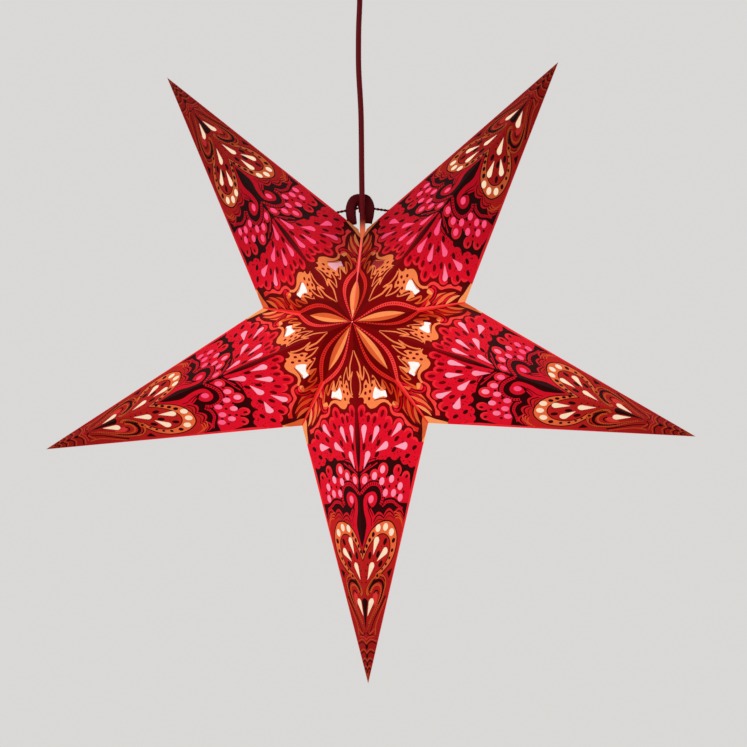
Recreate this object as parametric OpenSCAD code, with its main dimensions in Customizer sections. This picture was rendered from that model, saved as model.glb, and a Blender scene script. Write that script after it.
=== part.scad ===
// Paper star lantern with five folded card arms, a lamp inside and a hanging cord.
// Millimetres, +Z up. The origin is the middle of the ceiling face, the star faces -Y.

/* [Star] */
// Distance from the middle of the star to a tip
tip_r = 315; // [260:1:380]
// Distance from the middle of the star to a notch between two arms
notch_r = 99; // [82:1:120]
// Height of the front and back points above the middle plane
apex_h = 104; // [86:1:126]
// Thickness of the printed card
card_t = 0.4; // [0.3:0.05:0.6]
// Width of the glue flaps folded in along the valleys
flap_w = 9; // [7:0.5:11]
// Width of the glue strip that closes each arm along one side edge
seam_w = 8; // [5:0.5:9]
// Width of the open slit at the top notch
slit_w = 2.4; // [1:0.1:4]

/* [Cut-outs] */
// Radius of the round cut-outs and of the round end of the drops
dot_r = 3.6; // [2.5:0.1:4]
// Length of a drop from the middle of its round end to its point
drop_len = 14; // [11:0.5:15]
// Radius of the corners of the flame cut-out
flame_round = 0.9; // [0.5:0.1:1.5]

/* [Tissue] */
// Thickness of the tissue paper glued behind the cut-outs
tissue_t = 0.12; // [0.08:0.02:0.2]

/* [Tie ribbon] */
// Distance of a ribbon hole from the top notch, along the arm's edge
tie_along = 36; // [28:1:44]
// Distance of a ribbon hole from the arm's edge
tie_in = 7; // [5:0.5:9]
// Radius of a ribbon hole
tie_hole_r = 2.4; // [2:0.1:3]
// Radius of the ribbon where it is pulled tight
tie_r = 1.3; // [0.9:0.1:1.5]
// Width of the ribbon in the bow
ribbon_w = 8.5; // [6:0.5:10]
// Height of the bow above the top notch
bow_rise = 26; // [25:1:32]

/* [Lamp] */
// Outer radius of the lamp holder
holder_r = 18.5; // [17:0.5:20]
// Wall of the holder's cap and sleeve
holder_wall = 2; // [1.5:0.1:2.2]
// Length of the holder's sleeve
sleeve_len = 36; // [32:1:44]
// Radius of the bulb's screw base
base_r = 13; // [12:0.5:13]
// Largest radius of the bulb
bulb_r = 28; // [20:1:32]
// Length of the glass below the holder
glass_len = 76; // [68:1:90]

/* [Cord] */
// Diameter of the cord
cord_d = 5.2; // [4.6:0.1:6.6]

/* [Ceiling fitting] */
// Outer radius of the ceiling cup
cup_r = 42; // [37:1:50]
// Height of the ceiling cup
cup_h = 22; // [21:1:26]
// Wall of the ceiling cup
cup_wall = 1.8; // [1.2:0.1:2.4]
// Length of the cord grip below the cup
grip_len = 10; // [8:0.5:14]
// Thickness of the mounting plate
plate_t = 2.5; // [1.5:0.1:3.5]
// Distance between the two mounting screws
screw_spacing = 50; // [44:1:56]
// Radius of the mounting screw holes
screw_hole_r = 2.2; // [1.8:0.1:2.8]

/* [Hidden] */
$fn = 64;

ARM_NAMES = ["upper_left", "upper_right", "right", "bottom", "left"];

// Half of the angle that one arm takes, and the directions of the arms from the top left one clockwise
half_a = 180 / len(ARM_NAMES);
UPPER_LEFT = 0;
UPPER_RIGHT = 1;
function arm_angle(i) = 90 + half_a - 2 * half_a * i;

// The top slit turns the two edges beside it away from each other
slit_a = asin(slit_w / 2 / notch_r);
function left_cut(i) = i == UPPER_RIGHT ? half_a - slit_a : half_a;
function right_cut(i) = i == UPPER_LEFT ? half_a - slit_a : half_a;

// One facet in an arm's own frame: X to the tip, Y to the left edge, Z to the front
function unit(v) = v / norm(v);
base_b = notch_r * sin(half_a) / (1 - notch_r * cos(half_a) / tip_r);
facet_slope = [1 / tip_r, 1 / base_b, 1 / apex_h];
facet_n = unit(facet_slope);
apex_p = [0, 0, apex_h];
notch_p = [notch_r * cos(half_a), notch_r * sin(half_a), 0];
tip_p = [tip_r, 0, 0];
ridge_len = norm(tip_p - apex_p);
along_dir = unit(tip_p - apex_p);
across_dir = cross(facet_n, along_dir);
notch_u = (notch_p - apex_p) * along_dir;
notch_v = (notch_p - apex_p) * across_dir;

// Room beyond the star for cutting tools
far = tip_r + 10;
// How far a cut runs past the card on each side
cut_over = 0.3;

// Flaps: the gap at their mitre, where they start from the middle, and their depth below the facets
mitre_gap = 1;
flap_start_r = 14;
pinhole_r = 0.4;
valley_a = atan(apex_h / notch_r);
valley_n = [facet_n.x * cos(half_a) + facet_n.y * sin(half_a), facet_n.z];
flap_depth = flap_w * norm(valley_n);

// Seam strip: its height above the middle plane and where it stops short of the flaps
seam_h = seam_w * sqrt(1 - facet_n.z * facet_n.z);
seam_stop = 3;

// Cut-outs on a facet: percent of the ridge from the apex, then percent of the facet's width there.
// A drop also has the percent of the ridge at which its point aims.
DOTS = [
    [43.2, 9], [42.9, 25], [41.8, 38], [45, 38], [45.2, 55],
    [48.5, 46], [49.3, 62], [48, 73], [51.2, 77], [49, 20],
    [57.6, 37], [58, 54], [60, 70],
];
DROPS = [
    [29.2, 11, 60], [30.5, 29, 43], [31.4, 61, 42], [35.4, 40, 38], [37.2, 70, 34], [36.6, 14, 44],
    [60.9, 35, 74], [64.7, 60, 70], [67.5, 25, 74], [77.5, 28, 83],
];
FLAME = [
    [18.6, 49], [19.6, 52], [20.3, 57], [20.4, 66.5], [22.6, 63.7], [21.9, 58],
    [21.9, 49.5], [22.1, 39.5], [21.4, 35.8], [20.1, 39.6], [19.1, 45],
];
function width_at(u) = u < notch_u ? notch_v * u / notch_u : notch_v * (ridge_len - u) / (ridge_len - notch_u);
function spot(p) = [p[0] / 100 * ridge_len, p[1] / 100 * width_at(p[0] / 100 * ridge_len)];
// A drop's sides leave its round end this far past the tangent
drop_lead = 6;

// Tissue bands as shares of the arm's length, and their margins at the valleys and at the seam
PALE_BAND = [0.145, 0.225];
PINK_BAND = [0.245, 0.505];
CREAM_BAND = [0.53, 0.83];
valley_margin = 1;
seam_margin = 1.5;

// Cord route, from the terminal block down to the lamp holder
ROUTE = [
    [0, 0, -14], [0, 0, -26], [0, 0, -38], [-0.5, 0, -50], [-1.3, 0, -65], [-1.8, 0, -85],
    [-1.9, 0, -105], [-1.4, 0, -120], [-0.7, 0, -135], [-0.2, 0, -150], [-0.1, 0, -175], [-0.2, 0, -200],
    [-0.2, 0, -225], [-0.1, 0, -245], [0, 0, -262], [0, 0, -280], [0, 0, -300],
];
cord_sides = 12;
cord_gap = 0.15;
cord_hole_r = cord_d / 2 + 1.2;

// Lamp heights, measured from the middle of the star. The cap nests under the flaps of the top notch.
seat_gap = 0.3;
fit_gap = 0.2;
cap_top_r = 6;
cap_rim_h = 8;
cap_peak_z = notch_r - (flap_w + seat_gap) / sin(valley_a);
function cap_z(r) = cap_peak_z - r * notch_r / apex_h;
cap_drop = holder_wall * norm([1, notch_r / apex_h]);
joint_z = cap_z(holder_r) - cap_rim_h;
sleeve_r = holder_r - 0.6;
holder_in_r = holder_r - holder_wall;
sleeve_end_z = joint_z - sleeve_len;
block_top_z = joint_z + 2;
block_h = 14;
block_end_z = block_top_z - block_h;
shell_wall = 0.6;
shell_len = 20;
base_tip_r = 5;
base_tip_h = 3;
glass_top_z = sleeve_end_z + 2;
neck_r = base_r + 1.5;
globe_z = sleeve_end_z - glass_len + bulb_r;
star_z = ROUTE[len(ROUTE) - 1].z - block_top_z;

// Tie: the right ribbon hole, in the back facet beside the top notch, and the bow behind the cord
tie_knot_r = 3.4;
tie_knot_gap = 0.15;
bow_back = 9;
bow_knot_r = 5;
bow_knot_t = 6;
ear_t = 3;
ear_turn_r = 8.5;
ear_rise = 8;
ear_leg = 12;
// The bow hangs over to the left: how far its right and left ears run out before they turn down
EAR_OUT = [-2, 3.5];
back_n = [facet_n.x, facet_n.y, -facet_n.z];
edge_dir = unit(tip_p - notch_p);
hole_local = notch_p + tie_along * edge_dir + tie_in * cross(back_n, edge_dir);
function turned(p, a) = [p.x * cos(a) - p.y * sin(a), -p.z, p.x * sin(a) + p.y * cos(a)];
hole_p = turned(hole_local, arm_angle(UPPER_RIGHT));
hole_n = turned(back_n, arm_angle(UPPER_RIGHT));
bow_p = [0, bow_back, notch_r + bow_rise];
tie_dir = unit(hole_p - bow_p);
tie_knot_p = hole_p - tie_dir * (tie_knot_r + card_t + tissue_t + tie_knot_gap) / (tie_dir * hole_n);

// Ceiling fitting
cup_fillet = 10;
stem_r = 5;
stem_gap = 0.1;
grip_r = 8;
grip_end_r = 4.6;
nut_r = 9;
nut_h = 4;
nut_sides = 6;
stem_h = nut_h + 1;
plate_r = cup_r - cup_wall - fit_gap;
wire_hole_r = 6;
wire_hole_y = 18;
terminal_w = 18;
terminal_d = 12;
terminal_end_z = ROUTE[0].z;

// Shapes that the pieces share

// The four facets' planes, moved inwards by depth
module pyramid(depth = 0) {
    back = depth * norm(facet_slope) * tip_r;
    translate([-back, 0, 0])
        polyhedron(
            points = [tip_p, [0, base_b, 0], apex_p, [0, -base_b, 0], -apex_p],
            faces = [[0, 2, 1], [0, 3, 2], [0, 4, 3], [0, 1, 4], [1, 2, 3, 4]]
        );
}

// The space between an arm's two valley planes, moved inwards by inset
module wedge(i, inset = 0) {
    opening = (left_cut(i) + right_cut(i)) / 2;
    rotate((left_cut(i) - right_cut(i)) / 2)
        translate([inset / sin(opening), 0, 0])
            linear_extrude(2 * far, center = true)
                polygon([[0, 0], [far, far * tan(opening)], [far, -far * tan(opening)]]);
}

// Repeats a left front facet's shape on all four facets
module four_facets() {
    for (across = [0, 1], over = [0, 1])
        mirror([0, across, 0]) mirror([0, 0, over]) children();
}

// From flat facet coordinates to the left front facet of an arm
module on_facet() {
    multmatrix([
        [along_dir.x, across_dir.x, facet_n.x, apex_p.x],
        [along_dir.y, across_dir.y, facet_n.y, apex_p.y],
        [along_dir.z, across_dir.z, facet_n.z, apex_p.z],
        [0, 0, 0, 1],
    ]) children();
}

// From an arm's own frame to its place in the hanging star
module place(i) {
    translate([0, 0, star_z]) rotate([90, 0, 0]) rotate(arm_angle(i)) children();
}

// A round bar between two points
module bar(from, to, r) {
    d = to - from;
    translate(from) rotate([0, acos(d.z / norm(d)), atan2(d.y, d.x)]) cylinder(h = norm(d), r = r);
}

module tube(outer_r, inner_r, h) {
    difference() {
        cylinder(h = h, r = outer_r);
        translate([0, 0, -1]) cylinder(h = h + 2, r = inner_r);
    }
}

// Cut-outs in a facet, drawn flat

module drop(at, aim) {
    side = acos(dot_r / drop_len) + drop_lead;
    translate(at) rotate(atan2(aim.y - at.y, aim.x - at.x)) {
        circle(dot_r);
        polygon([dot_r * [cos(side), sin(side)], [drop_len, 0], dot_r * [cos(side), -sin(side)]]);
    }
}

module flame() {
    offset(r = flame_round, $fn = 20) offset(delta = -flame_round) polygon([for (p = FLAME) spot(p)]);
}

module facet_cuts() {
    for (p = DOTS) translate(spot(p)) circle(dot_r);
    for (p = DROPS) drop(spot(p), spot([p[2], 0]));
    flame();
}

module cut_outs() {
    four_facets() on_facet()
        translate([0, 0, -card_t - cut_over]) linear_extrude(card_t + 2 * cut_over) facet_cuts();
}

// Folded card arms

// The strip of the back facet that is glued inside the front facet along the left edge
module seam_strip(i) {
    intersection() {
        difference() {
            pyramid(card_t / 2);
            pyramid(2 * card_t);
        }
        wedge(i, seam_stop);
        cube([far, far, seam_h]);
    }
}

// What is empty behind the facets: all but the flaps and the seam strip
module arm_hollow(i) {
    difference() {
        intersection() {
            pyramid(card_t);
            union() {
                wedge(i, card_t);
                pyramid(flap_depth);
                translate([0, 0, -mitre_gap / 2]) linear_extrude(mitre_gap) square(2 * far, center = true);
                cylinder(h = 2 * far, r = flap_start_r, center = true);
            }
        }
        seam_strip(i);
    }
}

module tie_hole(side) {
    translate([0, 0, star_z]) mirror([side, 0, 0]) bar(hole_p - 4 * tie_dir, hole_p + 4 * tie_dir, tie_hole_r);
}

// The hole for the cord and the ribbon holes, in the two arms beside the top notch
module top_holes(i) {
    if (i == UPPER_LEFT || i == UPPER_RIGHT) {
        tie_hole(i == UPPER_LEFT ? 1 : 0);
        translate([0, 0, star_z + notch_r / 2]) cylinder(h = notch_r, r = cord_hole_r);
    }
}

module arm(i) {
    color("crimson") difference() {
        place(i) difference() {
            intersection() {
                pyramid();
                wedge(i);
            }
            arm_hollow(i);
            cut_outs();
            cylinder(h = 2 * far, r = pinhole_r, center = true);
        }
        top_holes(i);
    }
}

// Tissue paper

// A band of tissue on the inner side of the facets, open at the seam strip
module tissue_band(i, band) {
    difference() {
        intersection() {
            difference() {
                pyramid(card_t);
                pyramid(card_t + tissue_t);
            }
            wedge(i, card_t + valley_margin);
            translate([band[0] * tip_r, -far, -far]) cube([(band[1] - band[0]) * tip_r, 2 * far, 2 * far]);
        }
        translate([0, 0, -seam_margin]) cube([far, far, seam_h + 2 * seam_margin]);
    }
}

module pink_tissue(i) {
    color("hotpink") difference() {
        place(i) tissue_band(i, PINK_BAND);
        top_holes(i);
    }
}

module cream_tissue(i) {
    color("moccasin") place(i) tissue_band(i, CREAM_BAND);
}

// The part of the innermost band on the front or on the back of an arm
module pale_tissue(i, back) {
    color("white") difference() {
        place(i) intersection() {
            tissue_band(i, PALE_BAND);
            mirror([0, 0, back]) translate([0, -far, 0]) cube([far, 2 * far, far]);
        }
        top_holes(i);
    }
}

// Tie ribbon

// One ear of the bow from the front: up from the knot, round a bend and down
module bow_ear(out) {
    translate([-ribbon_w / 2, -ribbon_w / 2]) square([ribbon_w, ear_rise + ribbon_w]);
    translate([out, ear_rise - ear_turn_r]) {
        intersection() {
            difference() {
                circle(ear_turn_r + ribbon_w / 2);
                circle(ear_turn_r - ribbon_w / 2);
            }
            square(2 * ear_turn_r);
        }
        translate([ear_turn_r - ribbon_w / 2, -ear_leg]) square([ribbon_w, ear_leg + 0.5]);
        translate([ear_turn_r, -ear_leg]) circle(ribbon_w / 2);
    }
}

module tie_ribbon() {
    color("darkred") translate([0, 0, star_z]) {
        for (side = [0, 1]) mirror([side, 0, 0]) {
            bar(bow_p, tie_knot_p, tie_r);
            translate(tie_knot_p) sphere(tie_knot_r);
            translate(bow_p) rotate([90, 0, 0]) linear_extrude(ear_t, center = true) bow_ear(EAR_OUT[side]);
        }
        translate(bow_p) rotate([90, 0, 0]) cylinder(h = bow_knot_t, r = bow_knot_r, center = true);
    }
}

// Lamp

module holder_cap() {
    bore = cord_d / 2 + cord_gap;
    color("dimgray") translate([0, 0, star_z]) rotate_extrude() difference() {
        polygon([
            [bore, joint_z], [holder_r, joint_z], [holder_r, cap_z(holder_r)],
            [cap_top_r, cap_z(cap_top_r)], [bore, cap_z(cap_top_r)],
        ]);
        polygon([
            [0, joint_z - 1], [holder_in_r, joint_z - 1], [holder_in_r, cap_z(holder_in_r) - cap_drop],
            [cap_top_r, cap_z(cap_top_r) - cap_drop], [0, cap_z(cap_top_r) - cap_drop],
        ]);
    }
}

module holder_sleeve() {
    color("dimgray") translate([0, 0, star_z + sleeve_end_z]) tube(sleeve_r, holder_in_r, sleeve_len);
}

module contact_block() {
    color("linen") translate([0, 0, star_z + block_end_z]) cylinder(h = block_h, r = holder_in_r - fit_gap);
}

module screw_shell() {
    inner = base_r + fit_gap;
    color("gold") translate([0, 0, star_z + block_end_z - shell_len]) tube(inner + shell_wall, inner, shell_len);
}

module bulb() {
    reach = [neck_r, glass_top_z - globe_z];
    touch = atan2(reach.y, reach.x) - acos(bulb_r / norm(reach));
    inside = 0.995 * bulb_r;
    color("ivory") translate([0, 0, star_z]) rotate_extrude() intersection() {
        union() {
            translate([0, globe_z]) circle(bulb_r);
            polygon([
                [0, globe_z], [inside * cos(touch), globe_z + inside * sin(touch)],
                [neck_r, glass_top_z], [0, glass_top_z],
            ]);
            translate([0, glass_top_z - 1]) square([base_r, block_end_z - base_tip_h - glass_top_z + 1]);
            translate([0, glass_top_z]) square([base_tip_r, block_end_z - glass_top_z]);
        }
        translate([0, globe_z - bulb_r - 1]) square([2 * bulb_r, glass_len + sleeve_len + bulb_r]);
    }
}

// Cord

function heading(i) = unit(ROUTE[min(i + 1, len(ROUTE) - 1)] - ROUTE[max(i - 1, 0)]);
function ring(i) =
    let (side = unit(cross([0, 1, 0], heading(i))), other = cross(heading(i), side))
    [for (k = [0 : cord_sides - 1])
        let (a = 360 * k / cord_sides) ROUTE[i] + cord_d / 2 * (cos(a) * side + sin(a) * other)];

module cord() {
    last = len(ROUTE) - 1;
    points = [for (i = [0 : last]) each ring(i)];
    walls = [for (i = [0 : last - 1], k = [0 : cord_sides - 1])
        let (next = (k + 1) % cord_sides, low = i * cord_sides, high = low + cord_sides)
        [low + k, high + k, high + next, low + next]];
    start = [for (k = [0 : cord_sides - 1]) k];
    end = [for (k = [cord_sides - 1 : -1 : 0]) last * cord_sides + k];
    color("maroon") polyhedron(points = points, faces = concat(walls, [start, end]));
}

// Ceiling fitting

module cord_grip() {
    bore = cord_d / 2 + cord_gap;
    color("gainsboro") translate([0, 0, -cup_h]) rotate_extrude() polygon([
        [bore, -grip_len], [grip_end_r, -grip_len], [grip_r, -grip_len / 3], [grip_r, 0],
        [stem_r, 0], [stem_r, cup_wall + stem_h], [bore, cup_wall + stem_h],
    ]);
}

module grip_nut() {
    color("gainsboro") translate([0, 0, -cup_h + cup_wall]) difference() {
        cylinder(h = nut_h, r = nut_r, $fn = nut_sides);
        translate([0, 0, -1]) cylinder(h = nut_h + 2, r = stem_r + stem_gap);
    }
}

// Half of the cup's section, with a rounded lower corner
module cup_section(r, h, fillet) {
    square([r - fillet, h]);
    translate([0, fillet]) square([r, h - fillet]);
    intersection() {
        translate([r - fillet, fillet]) circle(fillet);
        square([r, h]);
    }
}

module ceiling_cup() {
    color("whitesmoke") translate([0, 0, -cup_h]) rotate_extrude() difference() {
        cup_section(cup_r, cup_h, cup_fillet);
        translate([0, cup_wall]) cup_section(cup_r - cup_wall, cup_h, cup_fillet - cup_wall);
        translate([0, -1]) square([stem_r + stem_gap, cup_h]);
    }
}

module ceiling_plate() {
    color("silver") translate([0, 0, -plate_t]) linear_extrude(plate_t) difference() {
        circle(plate_r);
        for (side = [-1, 1]) translate([side * screw_spacing / 2, 0]) circle(screw_hole_r);
        translate([0, wire_hole_y]) circle(wire_hole_r);
    }
}

module terminal_block() {
    h = -terminal_end_z - plate_t;
    color("ivory") translate([-terminal_w / 2, -terminal_d / 2, terminal_end_z]) cube([terminal_w, terminal_d, h]);
}

for (i = [0 : len(ARM_NAMES) - 1]) {
    arm(i);
    pink_tissue(i);
    cream_tissue(i);
    pale_tissue(i, 0);
    pale_tissue(i, 1);
}
tie_ribbon();
holder_cap();
holder_sleeve();
contact_block();
screw_shell();
bulb();
cord();
cord_grip();
grip_nut();
ceiling_cup();
ceiling_plate();
terminal_block();
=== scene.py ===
"""Paper star lantern: printed card arms, tissue windows, a ribbon tie, its lamp and its hanging cord."""

import math
import random

import bmesh
import bpy
import numpy as np
from bpy.props import FloatProperty, FloatVectorProperty, IntProperty, PointerProperty
from mathutils import Matrix, Vector
from mathutils.geometry import delaunay_2d_cdt


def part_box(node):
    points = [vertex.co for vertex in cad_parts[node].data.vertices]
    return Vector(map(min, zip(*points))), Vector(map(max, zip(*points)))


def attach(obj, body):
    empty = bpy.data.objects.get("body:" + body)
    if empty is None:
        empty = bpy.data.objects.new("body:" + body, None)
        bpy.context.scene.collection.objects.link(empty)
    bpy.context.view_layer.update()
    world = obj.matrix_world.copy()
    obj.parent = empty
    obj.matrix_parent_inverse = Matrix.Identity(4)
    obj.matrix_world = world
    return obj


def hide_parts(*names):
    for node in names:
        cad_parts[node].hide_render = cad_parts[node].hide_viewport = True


bl_info = {
    "name": "Paper Star Lantern",
    "version": (1, 0, 0),
    "blender": (4, 5, 0),
    "location": "View3D > Sidebar > Lantern",
    "description": "Makes a lit paper star lantern around its fixed frame",
    "category": "Object",
}

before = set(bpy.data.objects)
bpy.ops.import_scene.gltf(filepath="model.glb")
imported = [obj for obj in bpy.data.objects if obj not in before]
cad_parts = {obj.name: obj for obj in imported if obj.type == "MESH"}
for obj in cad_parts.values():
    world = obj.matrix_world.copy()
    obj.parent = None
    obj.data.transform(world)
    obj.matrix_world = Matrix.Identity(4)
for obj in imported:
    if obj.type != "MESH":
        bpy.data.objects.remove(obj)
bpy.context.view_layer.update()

MM = 0.001
BODY = "root"
ARM_ANGLES = {"upper_left": 126, "upper_right": 54, "right": -18, "bottom": -90, "left": -162}
HALF_ARM = math.radians(36)
PINHOLE_R = 0.4 * MM
WHITE = (1, 1, 1)

# The star's driving sizes, read from the frame
TIP_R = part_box("arm_right")[1].x / math.cos(math.radians(ARM_ANGLES["right"]))
NOTCH_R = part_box("arm_bottom")[1].x / math.sin(HALF_ARM)
APEX_H = -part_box("arm_bottom")[0].y / (1 - PINHOLE_R / TIP_R)
STAR_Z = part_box("arm_bottom")[0].z + TIP_R
BULB_LOW, BULB_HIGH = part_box("bulb")
LAMP = (0.0, 0.0, BULB_LOW.z + BULB_HIGH.x)
GLASS_TOP_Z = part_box("holder_sleeve")[0].z + 2 * MM

# Where the lamp's light changes: from one distance, height or place beside the star's axis to another
NEAR_LAMP = 0.08
HOLDER_RISE = (STAR_Z + 0.045, STAR_Z + 0.065)
HOLDER_SIDE = (0.012, 0.040)
UPPER_RISE = (STAR_Z + 0.03, STAR_Z + 0.11)
FAR_TISSUE = (0.105, 0.15)
HIGH_TISSUE = (STAR_Z + 0.015, STAR_Z + 0.085)
WINDOW_RISE = (STAR_Z + 0.040, STAR_Z + 0.050)
WINDOW_SIDE = (-0.004, 0.006)
GROUND_REACH = (0.070, 0.125)
SEAM_GLOW = (STAR_Z + NOTCH_R, STAR_Z + NOTCH_R + 0.013)

# Points closer than these are one: corners in metres, points of the print in millimetres
WELD = 1e-6
CAD_WELD = 2e-6
PRINT_SNAP = 2e-4
# How far off a facet's plane its corners may lie, in millimetres
FACET_LEVEL = 0.01

INKS = ("card", "cut_edge", "maroon", "crimson", "scarlet", "coral", "orange", "tangerine", "amber", "peach",
        "brick")


# Values that a user may change

def colour_value(name, description, default):
    return FloatVectorProperty(
        name=name, description=description, subtype="COLOR", size=3, min=0, max=1, default=default)


def share_value(name, description, default):
    return FloatProperty(name=name, description=description, subtype="FACTOR", min=0, max=1, default=default)


def length_value(name, description, default, **limits):
    return FloatProperty(name=name, description=description, unit="LENGTH", default=default, **limits)


def power_value(name, description, default):
    return FloatProperty(name=name, description=description, unit="POWER", default=default)


class InkColours(bpy.types.PropertyGroup):
    """Colours of the lit card, one for each ink"""
    card: colour_value("Bare Card", "Inner side of the card, lit by the lamp", (1.0, 0.15, 0.155))
    # Painted shade: the cut edges are a darker copy of the lit card, as no lamp light comes through them
    cut_edge: colour_value("Cut Edge", "Edges of the cut-outs", (0.34, 0.008, 0.012))
    maroon: colour_value("Maroon", "Ground of the print", (0.25, 0.0006, 0.002))
    crimson: colour_value("Crimson", "Fans, dot fields, scrolls and ropes", (0.76, 0.004, 0.020))
    scarlet: colour_value("Scarlet", "Bright rims of the lobes and edge lines", (0.88, 0.018, 0.030))
    coral: colour_value("Coral", "Petal rims, stems and sweeps", (0.98, 0.050, 0.043))
    orange: colour_value("Orange", "Flames round the innermost windows", (0.97, 0.235, 0.072))
    tangerine: colour_value("Tangerine", "Paisley bands and stem leaves", (0.96, 0.15, 0.044))
    amber: colour_value("Amber", "Curls near the tips and dark flames", (0.80, 0.105, 0.020))
    peach: colour_value("Peach", "Petals in the middle and the notch corners", (0.98, 0.30, 0.095))
    brick: colour_value("Brick", "Ground of the tips", (0.58, 0.013, 0.011))


class TissueColours(bpy.types.PropertyGroup):
    """Colours of the lit tissue behind the windows"""
    # One pink tissue in painted light and shade: paler near the lamp, deeper pink far from it and higher up
    pink: colour_value("Pink", "Tissue behind the middle windows", (1.0, 0.38, 0.50))
    far_pink: colour_value("Far Pink", "The same tissue further from the lamp", (1.0, 0.09, 0.22))
    cream: colour_value("Cream", "Tissue behind the windows near the tips", (1.0, 0.77, 0.53))
    pale: colour_value("Pale", "Tissue behind the innermost windows", (1.0, 0.97, 0.93))


class PaperLook(bpy.types.PropertyGroup):
    """How the paper takes the light"""
    reflected: share_value("Reflected Share", "Share of a colour that the unlit paper shows", 0.36)
    lit: share_value("Lit Share", "Share of a colour that the lamp adds close to it", 0.78)
    reach: length_value("Reach", "Distance from the lamp at which its glow is weakest", 0.36, min=0.1)
    far_glow: share_value("Far Glow", "Share of the glow that is left at that distance", 0.12)
    tissue_glow: share_value("Tissue Glow", "Share of the glow that is left there in the tissue", 0.85)
    flap_tint: colour_value("Flap Tint",
                            "Share of each colour that a glued flap behind the card lets through",
                            (0.66, 0.20, 0.12))
    holder_shade: share_value(
        "Holder Shade", "Share of the glow that the lamp holder keeps off the card above it", 0.5)
    upper_glow: share_value(
        "Upper Glow", "Share of the glow that gets past the lamp holder into the upper arms", 0.62)


class RibbonSizes(bpy.types.PropertyGroup):
    """Sizes of the ribbon tie"""
    width: length_value("Width", "Width of the ribbon", 0.0102)
    thickness: length_value("Thickness", "Thickness of the ribbon", 0.0005)
    strand: length_value("Strand", "Radius of the ribbon where it is pulled tight", 0.0013)
    rise: length_value("Rise", "Height of the bow above the top notch", 0.026)
    back: length_value("Back", "Distance of the bow behind the cord", 0.009)


class LampSizes(bpy.types.PropertyGroup):
    """Sizes of the lamp's fine parts"""
    thread_turns: FloatProperty(name="Thread Turns", description="Turns of the bulb's thread", default=4.5)
    thread_r: length_value("Thread Radius", "Radius of the round thread", 0.0007)
    ribs: IntProperty(name="Ribs", description="Grip ribs round the lamp holder's cap", default=40)
    rib_depth: length_value("Rib Depth", "How far a rib stands out of the cap", 0.0005)
    cord_d: length_value("Cord Diameter", "Diameter of the cord", 0.0052)


class StageLook(bpy.types.PropertyGroup):
    """Floor, light and camera"""
    floor_drop: length_value("Floor Drop", "Floor below the middle of the star", 0.78)
    pale: colour_value("Pale", "Colour of the floor and of the room", (0.70, 0.69, 0.675))
    world: FloatProperty(name="Room Light", description="Strength of the light from all round", default=0.42)
    key: power_value("Key Light", "Power of the main lamp", 26.0)
    fill: power_value("Fill Light", "Power of the second lamp", 12.0)
    back: power_value("Back Light", "Power of the lamp behind", 16.0)
    distance: length_value("Camera Distance", "From the camera to the plane of the star", 1.5704)
    focal: FloatProperty(
        name="Focal Length", description="Focal length on a 36 mm sensor, in millimetres", default=82.1)


# Flat drawing: outlines are arrays of points, u down the ridge and v across it, in millimetres

def point(u, v):
    return np.array([u, v], float)


def unit(way):
    """A direction, or each of a list of them, at length one."""
    return way / np.linalg.norm(way, axis=-1, keepdims=True)


def sideways(way):
    """A flat direction, or each of a list of them, turned a quarter to its left."""
    return np.stack([-way[..., 1], way[..., 0]], axis=-1)


def smooth(points, steps=6, closed=False):
    """A smooth curve through given points."""
    knots = np.asarray(points, float)
    if closed:
        knots = np.vstack([knots[-1], knots, knots[:2]])
    else:
        knots = np.vstack([2 * knots[0] - knots[1], knots, 2 * knots[-1] - knots[-2]])
    made = []
    for a, b, c, d in zip(knots, knots[1:], knots[2:], knots[3:]):
        for t in np.arange(steps) / steps:
            made.append(0.5 * (2 * b + (c - a) * t + (2 * a - 5 * b + 4 * c - d) * t ** 2
                               + (3 * b - a - 3 * c + d) * t ** 3))
    if not closed:
        made.append(knots[-2])
    return np.array(made)


def outlined(path, half):
    """The outline of a line along a path, with half its width at each point."""
    side = sideways(unit(np.gradient(path, axis=0))) * half
    return np.vstack([path + side, (path - side)[::-1]])


def stroke(path, width, end_width=None):
    """The outline of a line along a path, its width running from width to end_width."""
    last = width if end_width is None else end_width
    return outlined(np.asarray(path, float), np.linspace(width, last, len(path))[:, None] / 2)


def circle(steps):
    turn = np.linspace(0, 2 * np.pi, steps, endpoint=False)
    return np.column_stack([np.cos(turn), np.sin(turn)])


def disc(centre, radius, steps=16):
    return np.asarray(centre) + radius * circle(steps)


def seed(centre, aim, length, width, steps=12):
    """A long disc at centre that points at aim."""
    local = circle(steps) * [length / 2, width / 2]
    way = unit(np.asarray(aim, float) - centre)
    return np.asarray(centre) + np.outer(local[:, 0], way) + np.outer(local[:, 1], sideways(way))


def bent(base, tip, bend, steps):
    """A bent line from base to tip, and the share of the way at each of its points."""
    base, tip = np.asarray(base, float), np.asarray(tip, float)
    elbow = (base + tip) / 2 + bend * sideways(tip - base)
    t = np.linspace(0, 1, steps)[:, None]
    return (1 - t) ** 2 * base + 2 * t * (1 - t) * elbow + t ** 2 * tip, t


def horn(base, tip, width, bend=0.0, steps=9):
    """A flame tongue from base to tip, thinning out along a bent line."""
    path, t = bent(base, tip, bend, steps)
    return outlined(path, width / 2 * (1 - t ** 1.4) + 0.12)


def leaf(base, tip, width, bend=0.0, steps=12):
    """A leaf from base to tip, widest in the middle of a bent line."""
    path, t = bent(base, tip, bend, steps)
    return outlined(path, width / 2 * np.sin(np.pi * t ** 0.8) + 0.1)


def along(path, spacing, look_ahead=0.5):
    """Points at even steps along a path, each with a point a little ahead of it."""
    path = np.asarray(path, float)
    run = np.concatenate([[0], np.cumsum(np.linalg.norm(np.diff(path, axis=0), axis=1))])
    at = np.arange(spacing / 2, run[-1], spacing)
    spots, ahead = (np.column_stack([np.interp(s, run, path[:, k]) for k in (0, 1)])
                    for s in (at, at + look_ahead))
    return list(zip(spots, ahead))


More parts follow.
